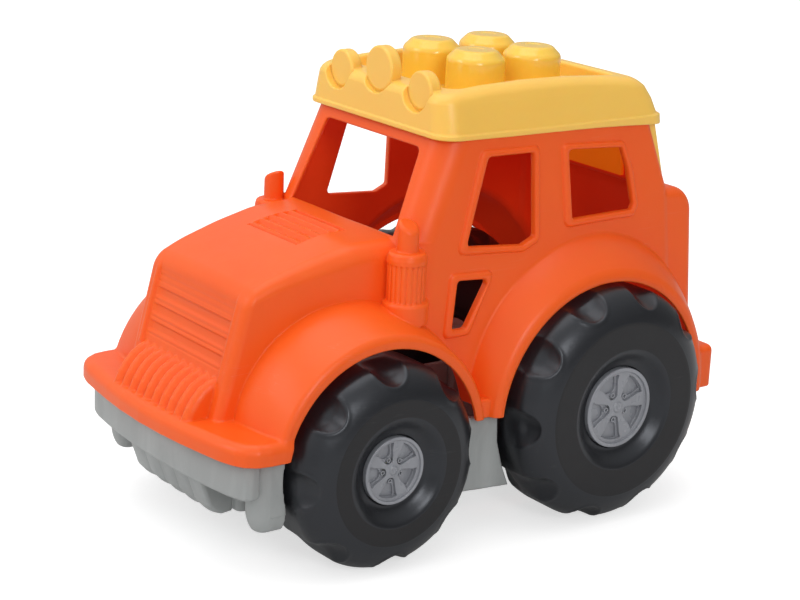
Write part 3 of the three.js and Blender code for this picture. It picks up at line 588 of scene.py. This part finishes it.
def chassis_sdf(x, y, z):
    band = poly(x, y, BAND)
    o = rint(np.maximum(band, z - 55.7), 39.4 - z, 1.6)
    o = np.maximum(o, y + 101.5)
    hollow = np.maximum(np.maximum(band + 2.6, 42.8 - z), y + 104.5)
    o = np.maximum(o, -hollow)
    # rounded guards in front of the wheels
    rho = np.sqrt((x - 56.2) ** 2 + np.minimum(y + 107.6, 0) ** 2)
    zr = np.clip(33 - z, 0, 14)
    shrink = 7.2 - np.sqrt(np.maximum(7.2**2 - (zr * 0.62) ** 2, 0.5)) * 1.0
    g = rho - 7.2 + shrink * 0.9
    g = rint(g, 21.9 - z, 2.2)
    g = np.maximum(g, np.maximum(y + 100.8, z - 55.7))
    gi = np.maximum(rho - 4.8, np.maximum(27 - z, y + 103))
    g = np.maximum(g, -gi)
    cheek = np.maximum(np.maximum(np.abs(x - 62.2) - 1.2, np.abs(y + 105) - 3.6), np.maximum(30 - z, z - 55.7))
    o = np.minimum(np.minimum(o, g), cheek)
    # ribbed valance
    v = poly(y, z, VAL)
    vu = (x + 30.5) / 12.2
    v = v + 0.9 * (1 - bumps(vu)) * ss((41.5 - z) / 3.0)
    v = rint(v, x - 30.5, 1.5)
    o = runi(o, v, 0.3)
    # side skirts
    s = rint(poly(y, z, SKIRT), x - 63.4, 1.2)
    s = np.maximum(s, 34 - x)
    si = np.maximum(poly(y, z, [(-6, 80), (-6.2, 40), (-8.4, 30), (-10, 25.2), (12.6, 23.4), (9.8, 30), (6.2, 42), (5.4, 80)]), x - 61)
    s = np.maximum(s, -si)
    o = np.minimum(o, s)
    # tray
    tr = rint(rint(x - 35.5, np.maximum(-106 - y, y - 122), 3.5), 22 - z, 1.2)
    tr = np.maximum(tr, z - 43.6)
    ti = np.maximum(rint(x - 33, np.maximum(-103.5 - y, y - 119.5), 3), 24.5 - z)
    tr = np.maximum(tr, -ti)
    o = np.minimum(o, tr)
    for cy, top, az in ((-56.0, 51.5, 45.0), (63.5, 60.5, 53.4)):
        sad = rint(rint(np.abs(x - 32.5) - 3.0, z - top, 1.0), np.abs(y - cy) - 8.0, 2.0)
        sad = np.maximum(sad, 22 - z)
        o = np.minimum(o, sad)
        hole = np.sqrt((y - cy) ** 2 + (z - az) ** 2) - 2.06
        o = np.maximum(o, -hole)
    # rear bumper
    rb = rint(rint(x - 60, y - 130, 6), 31 - z, 1.6)
    rb = np.maximum(rb, np.maximum(z - 46.3, 116 - y))
    ri = np.maximum(rint(x - 57.4, y - 127.4, 5), 33.6 - z)
    rb = np.maximum(rb, -np.maximum(ri, 100 - y))
    o = np.minimum(o, rb)
    lk = np.maximum(np.maximum(x - 35.5, np.abs(y - 117) - 5), np.maximum(22 - z, z - 36))
    o = np.minimum(o, np.maximum(lk, -ti))
    for py in (-96.0, 106.0):
        rho = np.sqrt((x - 20.0) ** 2 + (y - py) ** 2)
        o = np.minimum(o, np.maximum(rho - 5.5, np.maximum(22 - z, z - 43.9)))
        o = np.maximum(o, -np.maximum(rho - 1.7, z - 50))
        o = np.maximum(o, -np.maximum(rho - 3.8, z - 36))
    # clear of the tyres
    for cy, cz, r in ((-56.0, 45.0, 46.6), (63.5, 53.4, 55.0)):
        wc = np.maximum(np.sqrt((y - cy) ** 2 + (z - cz) ** 2) - r, 37 - x)
        o = np.maximum(o, -wc)
    return o


# ------------------------------------------------------------------ hubcaps
POCKET = rounded([(3.4, 0.0), (3.8, 1.5), (5.5, 2.35), (7.5, 3.1), (9.5, 3.8), (11.15, 4.9), (11.9, 2.8), (12.2, 0.0), (11.9, -2.8), (11.15, -4.9), (9.5, -3.8), (7.5, -3.1), (5.5, -2.35), (3.8, -1.5)],
                 [0.5, 0.8, 3, 5, 5, 0.2, 2, 5, 2, 0.2, 5, 5, 3, 0.8], 3)
DEEP = rounded([(5.9, 0.0), (6.3, 1.7), (7.8, 2.7), (9.7, 3.3), (11.5, 3.7), (12.1, 0.0), (11.5, -3.7), (9.7, -3.3), (7.8, -2.7), (6.3, -1.7)], [0.8, 1.2, 3, 3, 0.3, 6, 0.3, 3, 3, 1.2], 3)


def hubcap_sdf(R, b, top):
    """Five-spoke cap about the origin; x from b (back) to top (its rim)."""
    k = R / 14.8

    def f(x, u, v):
        rho = np.sqrt(u * u + v * v)
        ang = np.arctan2(v, u)
        rim = rint(rint(rho - R, x - top, 0.45), 13.35 * k - rho, 0.4)
        rise = 0.25 * ss((rho / k - 7.0) / 5.5)
        disc = np.maximum(rho - 13.6 * k, x - (top - 1.55 + rise + 0.35 * ss((5.0 - rho / k) / 4.0)))
        a5 = (ang - 0.75) / (2 * math.pi / 5)
        a5 = (a5 - np.round(a5)) * (2 * math.pi / 5)
        pu, pv = rho * np.cos(a5) / k, rho * np.sin(a5) / k
        shallow = np.maximum(poly(pu, pv, POCKET) * k, top - 3.0 - x)
        deep = np.maximum(poly(pu, pv, DEEP) * k, top - 4.15 - x)
        disc = rcut(disc, shallow, 0.25)
        disc = rcut(disc, deep, 0.25)
        lug = np.sqrt((pu - 4.9) ** 2 + pv**2) * k
        disc = np.maximum(disc, -np.maximum(lug - 0.55 * k, top - 3.0 - x))
        ring = np.maximum(np.abs(lug - 0.8 * k) - 0.22 * k, x - (top - 1.9))
        disc = runi(disc, np.maximum(ring, top - 3.2 - x), 0.15)
        hub = rint(rho - 1.9 * k, x - (top - 0.7), 0.6)
        disc = runi(disc, np.maximum(hub, b - x), 0.5)
        disc = disc + 0.45 * ss((0.95 * k - rho) / 0.5) * np.where(x > top - 1.9, 1, 0)
        o = runi(disc, rim, 0.3)
        o = np.maximum(o, b - x)
        return np.maximum(o, -np.maximum(rho - 4.7, x - (b + 1.8)))

    return f


# ------------------------------------------------------------------ tyres
def tyre_mesh(w, seg, fine):
    """Profile turned about x; scoops pressed into both shoulders. Returns local points and quads."""
    f, r, q, s = w["face"], w["r"], w["ring"], 13.0
    i = f - 41.0
    cb, dish = w["cap"] + 1.5, w["cap"] + 9.4
    P = []

    def line(a, b, n):
        for k in range(n):
            t = k / n
            P.append((a[0] + (b[0] - a[0]) * t, a[1] + (b[1] - a[1]) * t))

    def bez(a, b, c, d, n):
        for k in range(n):
            t = k / n
            u = 1 - t
            P.append(tuple(u**3 * a[j] + 3 * u * u * t * b[j] + 3 * u * t * t * c[j] + t**3 * d[j] for j in (0, 1)))

    def arc(c, rad, a0, a1, n):
        for k in range(n):
            a = math.radians(a0 + (a1 - a0) * k / n)
            P.append((c[0] + rad * math.cos(a), c[1] + rad * math.sin(a)))

    line((5.0, f - 8), (w["cap"] + 0.35, f - 8), 3)
    line((w["cap"] + 0.35, f - 8), (w["cap"] + 0.35, f - 5.5), 2)
    arc((w["cap"] + 0.85, f - 5.5), 0.5, 180, 90, 4)
    # dished wall, from the cap's bay up to the flat face
    bez((w["cap"] + 0.9, f - 5.0), (w["cap"] + 4.4, f - 4.7), (dish - 3.2, f - 0.5), (dish, f), 16)
    P.append((dish, f))
    line((dish + 0.5, f), (q - 0.6, f), 10)
    n1 = fine
    # face to shoulder: a soft crease, then the quarter round
    P.append((q - 0.25, f))
    bez((q + 0.1, f - 0.12), (q + 6.2, f - 1.6), (r - 0.1, f - 6.8), (r, f - s), n1)
    for t in (0.0, 0.4, 0.9, 1.5, 2.2, 3.0, 4.0, 5.5, 7.5, 9.5, 11.0, 12.0, 12.8, 13.5, 14.1, 14.6):
        P.append((r, f - s - t))
    arc((q, i + s), s, 0, -90, max(10, n1 // 2))
    line((q, i), (9.0, i), 6)
    line((9.0, i), (9.0, i + 2.4), 1)
    line((9.0, i + 2.4), (q - 1, i + 2.4), 3)
    line((q - 1, i + 2.4), (r - 5.4, i + s), 3)
    line((r - 5.4, i + s), (r - 5.4, f - s), 3)
    line((r - 5.4, f - s), (q - 1, f - 2.6), 3)
    line((q - 1, f - 2.6), (dish + 1, f - 2.6), 3)
    line((dish + 1, f - 2.6), (cb, f - 10.4), 3)
    line((cb, f - 10.4), (5.0, f - 10.4), 2)
    P.append((5.0, f - 10.4))
    P.append((5.0, f - 9.2))
    P = np.array(P)
    m = len(P)
    th = np.arange(seg) * 2 * math.pi / seg
    R0 = np.repeat(P[:, 0][:, None], seg, 1)
    X0 = np.repeat(P[:, 1][:, None], seg, 1)
    T = np.repeat(th[None, :], m, 0)
    pitch = 2 * math.pi / w["scoops"]
    mid = f - 20.5
    out = np.abs(X0 - mid) - (20.5 - s)
    # arc position along the shoulder from the crown's edge
    phi = np.arctan2(out, np.maximum(R0 - q, 1e-6))
    arcpos = np.where(out > 0, phi * s, out)
    shell = (R0 > q - 0.5) & (np.hypot(np.maximum(out, 0), R0 - q) > s - 2.2) & ((out > 0) | (R0 > r - 0.5))
    inner = X0 < mid
    ph = math.radians(w["phase"]) + np.where(inner, pitch / 2 * 0, 0)
    dT = T - ph
    dT = (dT / pitch - np.round(dT / pitch)) * pitch
    lat = dT * (R0 + 1.0)
    HW, L1 = w["hw"], w["len"]
    along = np.maximum(arcpos, 0) / L1
    rad = np.sqrt(along**2.4 + (lat / HW) ** 2)
    e = (1 - rad) * HW
    D = w["depth"]
    bowl = 1 - (1 - np.clip(e / (HW * 0.9), 0, 1)) ** 1.9
    wall = ss((arcpos + 10.0) / 16.0)
    lipz = 0.32 * np.exp(-(((e + 0.2) / 0.75) ** 2)) * ss((arcpos - 2.0) / 5.0)
    dep = np.where(shell & (e > 0), D * bowl * wall, 0) - np.where(shell & (arcpos > 0), lipz, 0)
    # press in along the shoulder's normal, leaning to the axis
    nr = np.where(out > 0, np.cos(phi), 1.0)
    nx = np.where(out > 0, np.sin(phi), 0.0) * np.where(inner, -1, 1)
    R1 = R0 - dep * (0.45 + 0.55 * nr)
    X1 = X0 - dep * 0.55 * nx
    V = np.stack([X1, -R1 * np.sin(T), R1 * np.cos(T)], -1).reshape(-1, 3)
    a = np.arange(m)[:, None] * seg + np.arange(seg)[None, :]
    a2 = np.roll(a, -1, 1)
    b = np.roll(a, -1, 0)
    b2 = np.roll(a2, -1, 0)
    Q = np.stack([a, a2, b2, b], -1).reshape(-1, 4)
    return V, Q


def outward(V, Q):
    """Turns the faces so that the enclosed volume is positive."""
    p = V[Q]
    vol = np.einsum("ij,ij->i", p[:, 0], np.cross(p[:, 1], p[:, 2])).sum() + np.einsum("ij,ij->i", p[:, 0], np.cross(p[:, 2], p[:, 3])).sum()
    return Q if vol > 0 else Q[:, ::-1]


def plain_object(name, V, Q, mat):
    me = bpy.data.meshes.new(name)
    me.vertices.add(len(V))
    me.vertices.foreach_set("co", (V * MM).astype(F32).ravel())
    me.loops.add(Q.size)
    me.loops.foreach_set("vertex_index", np.ascontiguousarray(Q).astype(np.int32).ravel())
    me.polygons.add(len(Q))
    me.polygons.foreach_set("loop_start", np.arange(0, Q.size, Q.shape[1], dtype=np.int32))
    me.update(calc_edges=True)
    me.polygons.foreach_set("use_smooth", np.ones(len(Q), bool))
    if mat:
        me.materials.append(mat)
    ob = bpy.data.objects.new(name, me)
    bpy.context.collection.objects.link(ob)
    return ob


# ------------------------------------------------------------------ materials
def nodes_of(mat):
    mat.use_nodes = True
    nt = mat.node_tree
    nt.nodes.clear()
    out = nt.nodes.new("ShaderNodeOutputMaterial")
    bsdf = nt.nodes.new("ShaderNodeBsdfPrincipled")
    nt.links.new(bsdf.outputs[0], out.inputs[0])
    return nt, bsdf


def mixcol(nt, fac, a, b, blend="MIX"):
    n = nt.nodes.new("ShaderNodeMix")
    n.data_type = "RGBA"
    n.blend_type = blend
    for sock, val in ((n.inputs[0], fac), (n.inputs[6], a), (n.inputs[7], b)):
        if isinstance(val, bpy.types.NodeSocket):
            nt.links.new(val, sock)
        elif isinstance(val, (int, float)):
            sock.default_value = val
        else:
            sock.default_value = (*val, 1.0)
    return n.outputs[2]


def maprange(nt, v, a, b, c, d):
    n = nt.nodes.new("ShaderNodeMapRange")
    nt.links.new(v, n.inputs[0])
    for k, q in zip((1, 2, 3, 4), (a, b, c, d)):
        n.inputs[k].default_value = q
    return n.outputs[0]


def noise(nt, co, scale, detail=2.0, rough=0.5, stretch=None, distort=0.0):
    if stretch:
        mp = nt.nodes.new("ShaderNodeMapping")
        mp.inputs["Scale"].default_value = stretch
        nt.links.new(co, mp.inputs["Vector"])
        co = mp.outputs[0]
    n = nt.nodes.new("ShaderNodeTexNoise")
    nt.links.new(co, n.inputs["Vector"])
    n.inputs["Scale"].default_value = scale
    n.inputs["Detail"].default_value = detail
    n.inputs["Roughness"].default_value = rough
    n.inputs["Distortion"].default_value = distort
    return n.outputs[0]


def plastic(name, base, dark, rough=(0.36, 0.46), grain=0.04, sss=0.0, streak=0.0, spec=0.5, scuff=0.0, coat=0.0, edge_highlight_col=None, sheen=None, glow=None, tint=None):
    """Moulded plastic: slow colour drift, fine grain, flow streaks, a painted highlight on convex edges and faint
    hairline scuffs.
    """
    mat = bpy.data.materials.new(name)
    nt, b = nodes_of(mat)
    co = nt.nodes.new("ShaderNodeTexCoord").outputs["Object"]
    drift = maprange(nt, noise(nt, co, 14.0, 3.0), 0.3, 0.7, 0.0, 1.0)
    col = mixcol(nt, drift, base, dark)
    if streak:
        st = maprange(nt, noise(nt, co, 30.0, 4.0, 0.6, (1.0, 1.0, 0.28), 1.2), 0.45, 0.72, 0.0, streak)
        col = mixcol(nt, st, col, tuple(min(1.0, c * 1.5) for c in base))
        st2 = maprange(nt, noise(nt, co, 46.0, 4.0, 0.6, (0.5, 1.0, 0.35), 2.0), 0.5, 0.75, 0.0, streak)
        col = mixcol(nt, st2, col, tuple(c * 0.62 for c in base))
    geo = nt.nodes.new("ShaderNodeNewGeometry")
    # painted highlight: convex edges, picked out by pointiness, get a lighter colour
    edge = maprange(nt, geo.outputs["Pointiness"], 0.53, 0.60, 0.0, 0.22)
    edge_highlight_col = edge_highlight_col or tuple(min(1.0, c * 1.25 + 0.03) for c in base)
    col = mixcol(nt, edge, col, edge_highlight_col)
    mark = None
    if scuff:
        a = noise(nt, co, 60.0, 2.0, 0.5, (1.0, 0.12, 6.0), 0.6)
        line = maprange(nt, a, 0.492, 0.5, 0.0, 1.0)
        line2 = maprange(nt, a, 0.5, 0.508, 1.0, 0.0)
        where = maprange(nt, noise(nt, co, 22.0, 2.0), 0.56, 0.68, 0.0, scuff)
        m = nt.nodes.new("ShaderNodeMath")
        m.operation = "MULTIPLY"
        nt.links.new(line, m.inputs[0])
        nt.links.new(line2, m.inputs[1])
        m2 = nt.nodes.new("ShaderNodeMath")
        m2.operation = "MULTIPLY"
        nt.links.new(m.outputs[0], m2.inputs[0])
        nt.links.new(where, m2.inputs[1])
        mark = m2.outputs[0]
        col = mixcol(nt, mark, col, tuple(min(1.0, c * 0.6 + 0.35) for c in base))
    nt.links.new(col, b.inputs["Base Color"])
    rg = maprange(nt, noise(nt, co, 40.0, 4.0, 0.6), 0.25, 0.75, rough[0], rough[1])
    nt.links.new(rg, b.inputs["Roughness"])
    b.inputs["Specular IOR Level"].default_value = spec
    b.inputs["IOR"].default_value = 1.5
    if coat:
        b.inputs["Coat Weight"].default_value = coat
        b.inputs["Coat Roughness"].default_value = 0.22
    if glow:
        b.inputs["Emission Color"].default_value = (*glow, 1.0)
        b.inputs["Emission Strength"].default_value = 1.0
    if tint:
        b.inputs["Specular Tint"].default_value = (*tint, 1.0)
    if sheen:
        b.inputs["Sheen Weight"].default_value = sheen[0]
        b.inputs["Sheen Roughness"].default_value = 0.45
        b.inputs["Sheen Tint"].default_value = (*sheen[1], 1.0)
    if sss:
        b.inputs["Subsurface Weight"].default_value = sss
        b.inputs["Subsurface Radius"].default_value = (1.0, 0.3, 0.08)
        b.inputs["Subsurface Scale"].default_value = 0.003
    g1 = noise(nt, co, 900.0, 3.0, 0.65)
    g2 = noise(nt, co, 130.0, 3.0, 0.5)
    bp = nt.nodes.new("ShaderNodeBump")
    bp.inputs["Strength"].default_value = grain
    bp.inputs["Distance"].default_value = 0.0004
    nt.links.new(g1, bp.inputs["Height"])
    bp2 = nt.nodes.new("ShaderNodeBump")
    bp2.inputs["Strength"].default_value = grain * 1.5
    bp2.inputs["Distance"].default_value = 0.0012
    nt.links.new(g2, bp2.inputs["Height"])
    nt.links.new(bp.outputs[0], bp2.inputs["Normal"])
    nt.links.new(bp2.outputs[0], b.inputs["Normal"])
    return mat


def metal(name, base, rough):
    mat = bpy.data.materials.new(name)
    nt, b = nodes_of(mat)
    co = nt.nodes.new("ShaderNodeTexCoord").outputs["Object"]
    n = noise(nt, co, 220.0, 4.0, 0.6, (0.05, 1.0, 1.0))
    nt.links.new(mixcol(nt, n, base, tuple(c * 0.8 for c in base)), b.inputs["Base Color"])
    nt.links.new(maprange(nt, n, 0.2, 0.8, rough - 0.06, rough + 0.1), b.inputs["Roughness"])
    b.inputs["Metallic"].default_value = 1.0
    bp = nt.nodes.new("ShaderNodeBump")
    bp.inputs["Strength"].default_value = 0.08
    bp.inputs["Distance"].default_value = 0.0003
    nt.links.new(n, bp.inputs["Height"])
    nt.links.new(bp.outputs[0], b.inputs["Normal"])
    return mat


ORANGE = plastic("orange_plastic", (0.92, 0.122, 0.0105), (0.87, 0.106, 0.0088), (0.34, 0.44), 0.05, 0.25, 0.0, 0.30, 0.10, 0.10)
# the far side of the thin shell, seen through the openings, is a deeper red copy of the orange with a painted glow
# standing in for the light that comes through it
ORANGE_INNER_PAINTED_GLOW = plastic("orange_plastic_inner_painted_glow", (0.88, 0.070, 0.007), (0.84, 0.064, 0.006), (0.42, 0.52), 0.05, 0.0, 0.0, 0.35, 0.0, glow=(0.10, 0.0030, 0.0010))
YELLOW = plastic("yellow_plastic", (0.97, 0.59, 0.110), (0.94, 0.545, 0.095), (0.34, 0.44), 0.05, 0.2, 0.0, 0.45, 0.08, 0.12)
YELLOW_GLOSS = plastic("yellow_plastic_gloss", (0.96, 0.600, 0.072), (0.93, 0.565, 0.064), (0.13, 0.19), 0.01, 0.2, 0.0, 0.60, 0.0)
# the back panel's faces inside the cab: a darker orange copy of the yellow with a painted glow standing in for light
# coming through the panel
YELLOW_INNER_PAINTED_GLOW = plastic("yellow_plastic_inner_painted_glow", (0.93, 0.33, 0.012), (0.89, 0.30, 0.010), (0.42, 0.52), 0.05, 0.0, 0.0, 0.35, 0.0, glow=(0.30, 0.042, 0.0005))
GREY = plastic("grey_plastic", (0.36, 0.375, 0.370), (0.31, 0.325, 0.322), (0.32, 0.46), 0.05, 0.0, 0.30, 0.45, 0.1)
HUB = plastic("hubcap_plastic", (0.275, 0.283, 0.31), (0.24, 0.248, 0.272), (0.22, 0.32), 0.03, 0.0, 0.25, 0.65, 0.0)
# the tyres' convex edges get a lighter bluish colour, a painted highlight
TYRE = plastic("tyre_plastic", (0.0125, 0.0130, 0.0150), (0.0095, 0.0100, 0.0118), (0.27, 0.36), 0.05, 0.0, 0.0, 0.58, 0.05, edge_highlight_col=(0.034, 0.036, 0.042), tint=(0.88, 0.92, 1.0))
TYRE_FACE = plastic("tyre_plastic_face", (0.0125, 0.0123, 0.0140), (0.0100, 0.0098, 0.0112), (0.38, 0.48), 0.05, 0.0, 0.0, 0.40, 0.05, edge_highlight_col=(0.05, 0.05, 0.056))
NYLON = plastic("nylon", (0.62, 0.62, 0.58), (0.56, 0.56, 0.52), (0.4, 0.5), 0.04, 0.05)
STEEL = metal("axle_steel", (0.56, 0.57, 0.58), 0.28)

# ------------------------------------------------------------------ pieces
HB, HR, HC, HH, SEG, FINE, RB, RR_, RC_, RH = 0.62, 0.6, 0.75, 0.24, 400, 30, 0.26, 0.27, 0.3, 0.4

body = sdf_piece("body_moulding", body_sdf, (-72, -136, 43.4), (72, 136, 178), HB, True, RB, ORANGE, nodes=["body_shell"])
body.data.materials.append(ORANGE_INNER_PAINTED_GLOW)
nf = len(body.data.polygons)
cen = np.empty(nf * 3, F32)
body.data.polygons.foreach_get("center", cen)
cen = cen.reshape(-1, 3) / MM
far = body_outer(np.abs(cen[:, 0]), cen[:, 1], cen[:, 2])
fnn = np.empty(nf * 3, F32)
body.data.polygons.foreach_get("normal", fnn)
inward = (grad(body_outer, cen.astype(float), 0.3, True) * fnn.reshape(-1, 3)).sum(1) < 0
# faces on the inside of the shell take the deeper red copy with the painted glow
body.data.polygons.foreach_set("material_index", ((far < -1.2) & inward).astype(np.int32))
roof = sdf_piece("roof_moulding", roof_sdf, (-54, -24, 143), (54, 108, 208.5), HR, True, RR_, YELLOW, nodes=["roof_cap"])
roof.data.materials.append(YELLOW_GLOSS)
nf = len(roof.data.polygons)
cen = np.empty(nf * 3, F32)
roof.data.polygons.foreach_get("center", cen)
cen = cen.reshape(-1, 3) / MM
on_stud = (np.hypot(np.abs(cen[:, 0]) - STUD_P / 2, np.abs(cen[:, 1] - STUD_Y) - STUD_P / 2) < STUD_R + 0.4) & (cen[:, 2] > 187)
in_tray = (np.abs(cen[:, 0]) < 39) & (cen[:, 1] > -7) & (cen[:, 1] < 84) & (cen[:, 2] > 186) & (cen[:, 2] < 190)
roof.data.materials.append(YELLOW_INNER_PAINTED_GLOW)
# faces of the back panel inside the cab take the darker copy with the painted glow
painted_glow_in_cab = (cen[:, 1] > 86) & (cen[:, 2] < 169) & (cen[:, 1] - 97.4 - (170 - cen[:, 2]) * 0.478 < 0.5) & (np.abs(cen[:, 0]) < 34)
roof.data.polygons.foreach_set("material_index", np.where(painted_glow_in_cab, 2, on_stud | in_tray).astype(np.int32))
base = sdf_piece("chassis_moulding", chassis_sdf, (-65, -129, 18), (65, 132, 62), HC, True, RC_, GREY, nodes=["chassis"])

WHEELS = {
    "front": dict(y=-56.0, z=45.0, r=45.0, ring=32.0, face=79.5, cap=14.8, scoops=8, phase=3.0, hw=8.6, len=14.6, depth=4.0),
    "rear": dict(y=63.5, z=53.4, r=53.4, ring=40.3, face=83.6, cap=18.4, scoops=10, phase=21.0, hw=8.8, len=14.6, depth=4.0),
}
for end, w in WHEELS.items():
    V, Q = tyre_mesh(w, 40 * w["scoops"], FINE)
    Q = outward(V, Q)
    cap = hubcap_sdf(w["cap"], w["face"] - 7.95, w["face"] - 3.45)
    hv, hq = nets(cap, (w["face"] - 9, -w["cap"] - 1, -w["cap"] - 1), (w["face"] - 1.5, w["cap"] + 1, w["cap"] + 1), HH, False)
    for side in ("left", "right"):
        m = np.array([1.0, 1.0, 1.0]) if side == "left" else np.array([-1.0, -1.0, 1.0])
        at = np.array([0.0, w["y"], w["z"]])
        bodyname = "wheel_%s_%s" % (end, side)
        t = plain_object("tyre_moulding_%s_%s" % (end, side), V * m + at, Q, TYRE)
        t.data.materials.append(TYRE_FACE)
        fc = V[Q].mean(1)
        fr = np.hypot(fc[:, 1], fc[:, 2])
        t.data.polygons.foreach_set("material_index", ((fc[:, 0] > w["face"] - 6) & (fr < w["ring"] - 0.1) & (fr > w["cap"] + 9.3)).astype(np.int32))
        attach(t, bodyname)
        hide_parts("tyre_%s_%s" % (end, side))

        def placed(x, y, z, cap=cap, m=m, at=at):
            return cap((x - at[0]) * m[0], (y - at[1]) * m[1], (z - at[2]) * m[2])

        c = object_of("hubcap_moulding_%s_%s" % (end, side), hv * m + at, hq, placed, False, 0.06, RH, HUB, 0.12)
        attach(c, bodyname)
        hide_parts("hubcap_%s_%s" % (end, side))

# ------------------------------------------------------------------ carried-over pieces get their own finish
for name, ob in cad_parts.items():
    if ob.hide_render:
        continue
    mat = STEEL if ("axle" in name and "retainer" not in name) or "screw" in name else NYLON
    ob.data.materials.clear()
    ob.data.materials.append(mat)

# ------------------------------------------------------------------ floor, light, camera
me = bpy.data.meshes.new("floor")
s = 9.0
me.from_pydata([(-s, -s, 0), (s, -s, 0), (s, s, 0), (-s, s, 0)], [], [(0, 1, 2, 3)])
floor = bpy.data.objects.new("floor", me)
bpy.context.collection.objects.link(floor)
fm = bpy.data.materials.new("floor_paper")
nt, b = nodes_of(fm)
co = nt.nodes.new("ShaderNodeTexCoord").outputs["Object"]
nt.links.new(mixcol(nt, noise(nt, co, 3.0, 2.0), (0.66, 0.66, 0.66), (0.63, 0.63, 0.63)), b.inputs["Base Color"])
b.inputs["Roughness"].default_value = 0.9
b.inputs["Specular IOR Level"].default_value = 0.1
b.inputs["Emission Color"].default_value = (1, 1, 1, 1)
lp = nt.nodes.new("ShaderNodeLightPath")
glow = maprange(nt, lp.outputs["Is Camera Ray"], 0.0, 1.0, 0.05, 0.62)
nt.links.new(glow, b.inputs["Emission Strength"])
me.materials.append(fm)

scene = bpy.context.scene
WORLD_LO, WORLD_HI = 0.13, 1.05
world = bpy.data.worlds.new("studio")
scene.world = world
world.use_nodes = True
bg = world.node_tree.nodes["Background"]
wn = world.node_tree
gen = wn.nodes.new("ShaderNodeTexCoord").outputs["Generated"]
vm = wn.nodes.new("ShaderNodeVectorMath")
vm.operation = "DOT_PRODUCT"
vm.inputs[1].default_value = (-0.28, -0.42, 0.86)
wn.links.new(gen, vm.inputs[0])
sky = maprange(wn, vm.outputs["Value"], -0.35, 1.0, WORLD_LO, WORLD_HI)
# plain white where the camera looks past the floor's edge
seen = wn.nodes.new("ShaderNodeLightPath").outputs["Is Camera Ray"]
mx = wn.nodes.new("ShaderNodeMath")
mx.operation = "MAXIMUM"
wn.links.new(sky, mx.inputs[0])
wn.links.new(seen, mx.inputs[1])
wn.links.new(mx.outputs[0], bg.inputs[1])
bg.inputs[0].default_value = (1.0, 1.0, 1.0, 1.0)


def area(name, loc, target, size, power, color=(1, 1, 1)):
    li = bpy.data.lights.new(name, "AREA")
    li.shape = "RECTANGLE"
    li.size, li.size_y = size
    li.energy = power
    li.color = color
    ob = bpy.data.objects.new(name, li)
    ob.location = loc
    ob.rotation_mode = "QUATERNION"
    ob.rotation_quaternion = (Vector(target) - Vector(loc)).to_track_quat("-Z", "Y")
    bpy.context.collection.objects.link(ob)
    return ob


area("top_softbox", (-0.1, -0.1, 1.5), (0, 0, 0.08), (1.1, 1.1), 4.7)
area("key_softbox", (-0.45, -1.5, 1.2), (0, 0, 0.1), (0.7, 0.7), 4.2)
area("side_softbox", (1.65, -0.5, 0.92), (0, 0, 0.1), (0.6, 0.6), 8.3)

AZ, EL, ROLL = (math.radians(v) for v in (52.97717586712587, 16.411331796056338, 2.731467945924382))
back = Vector((math.sin(AZ) * math.cos(EL), -math.cos(AZ) * math.cos(EL), math.sin(EL)))
right = Vector((math.cos(AZ), math.sin(AZ), 0))
up = back.cross(right)
R = right * math.cos(ROLL) + up * math.sin(ROLL)
U = -right * math.sin(ROLL) + up * math.cos(ROLL)
cam_data = bpy.data.cameras.new("camera")
cam_data.sensor_fit = "HORIZONTAL"
cam_data.sensor_width = 36.0
cam_data.lens = 92.139
cam_data.clip_start, cam_data.clip_end = 0.02, 60.0
cam = bpy.data.objects.new("camera", cam_data)
mat3 = Matrix((R, U, back)).transposed()
cam.matrix_world = Matrix.Translation(Vector((0.70514, -0.53221, 0.35094))) @ mat3.to_4x4()
bpy.context.collection.objects.link(cam)
scene.camera = cam
scene.view_settings.view_transform = "Standard"
scene.view_settings.look = "None"
scene.view_settings.exposure = 0.0
scene.view_settings.gamma = 1.0
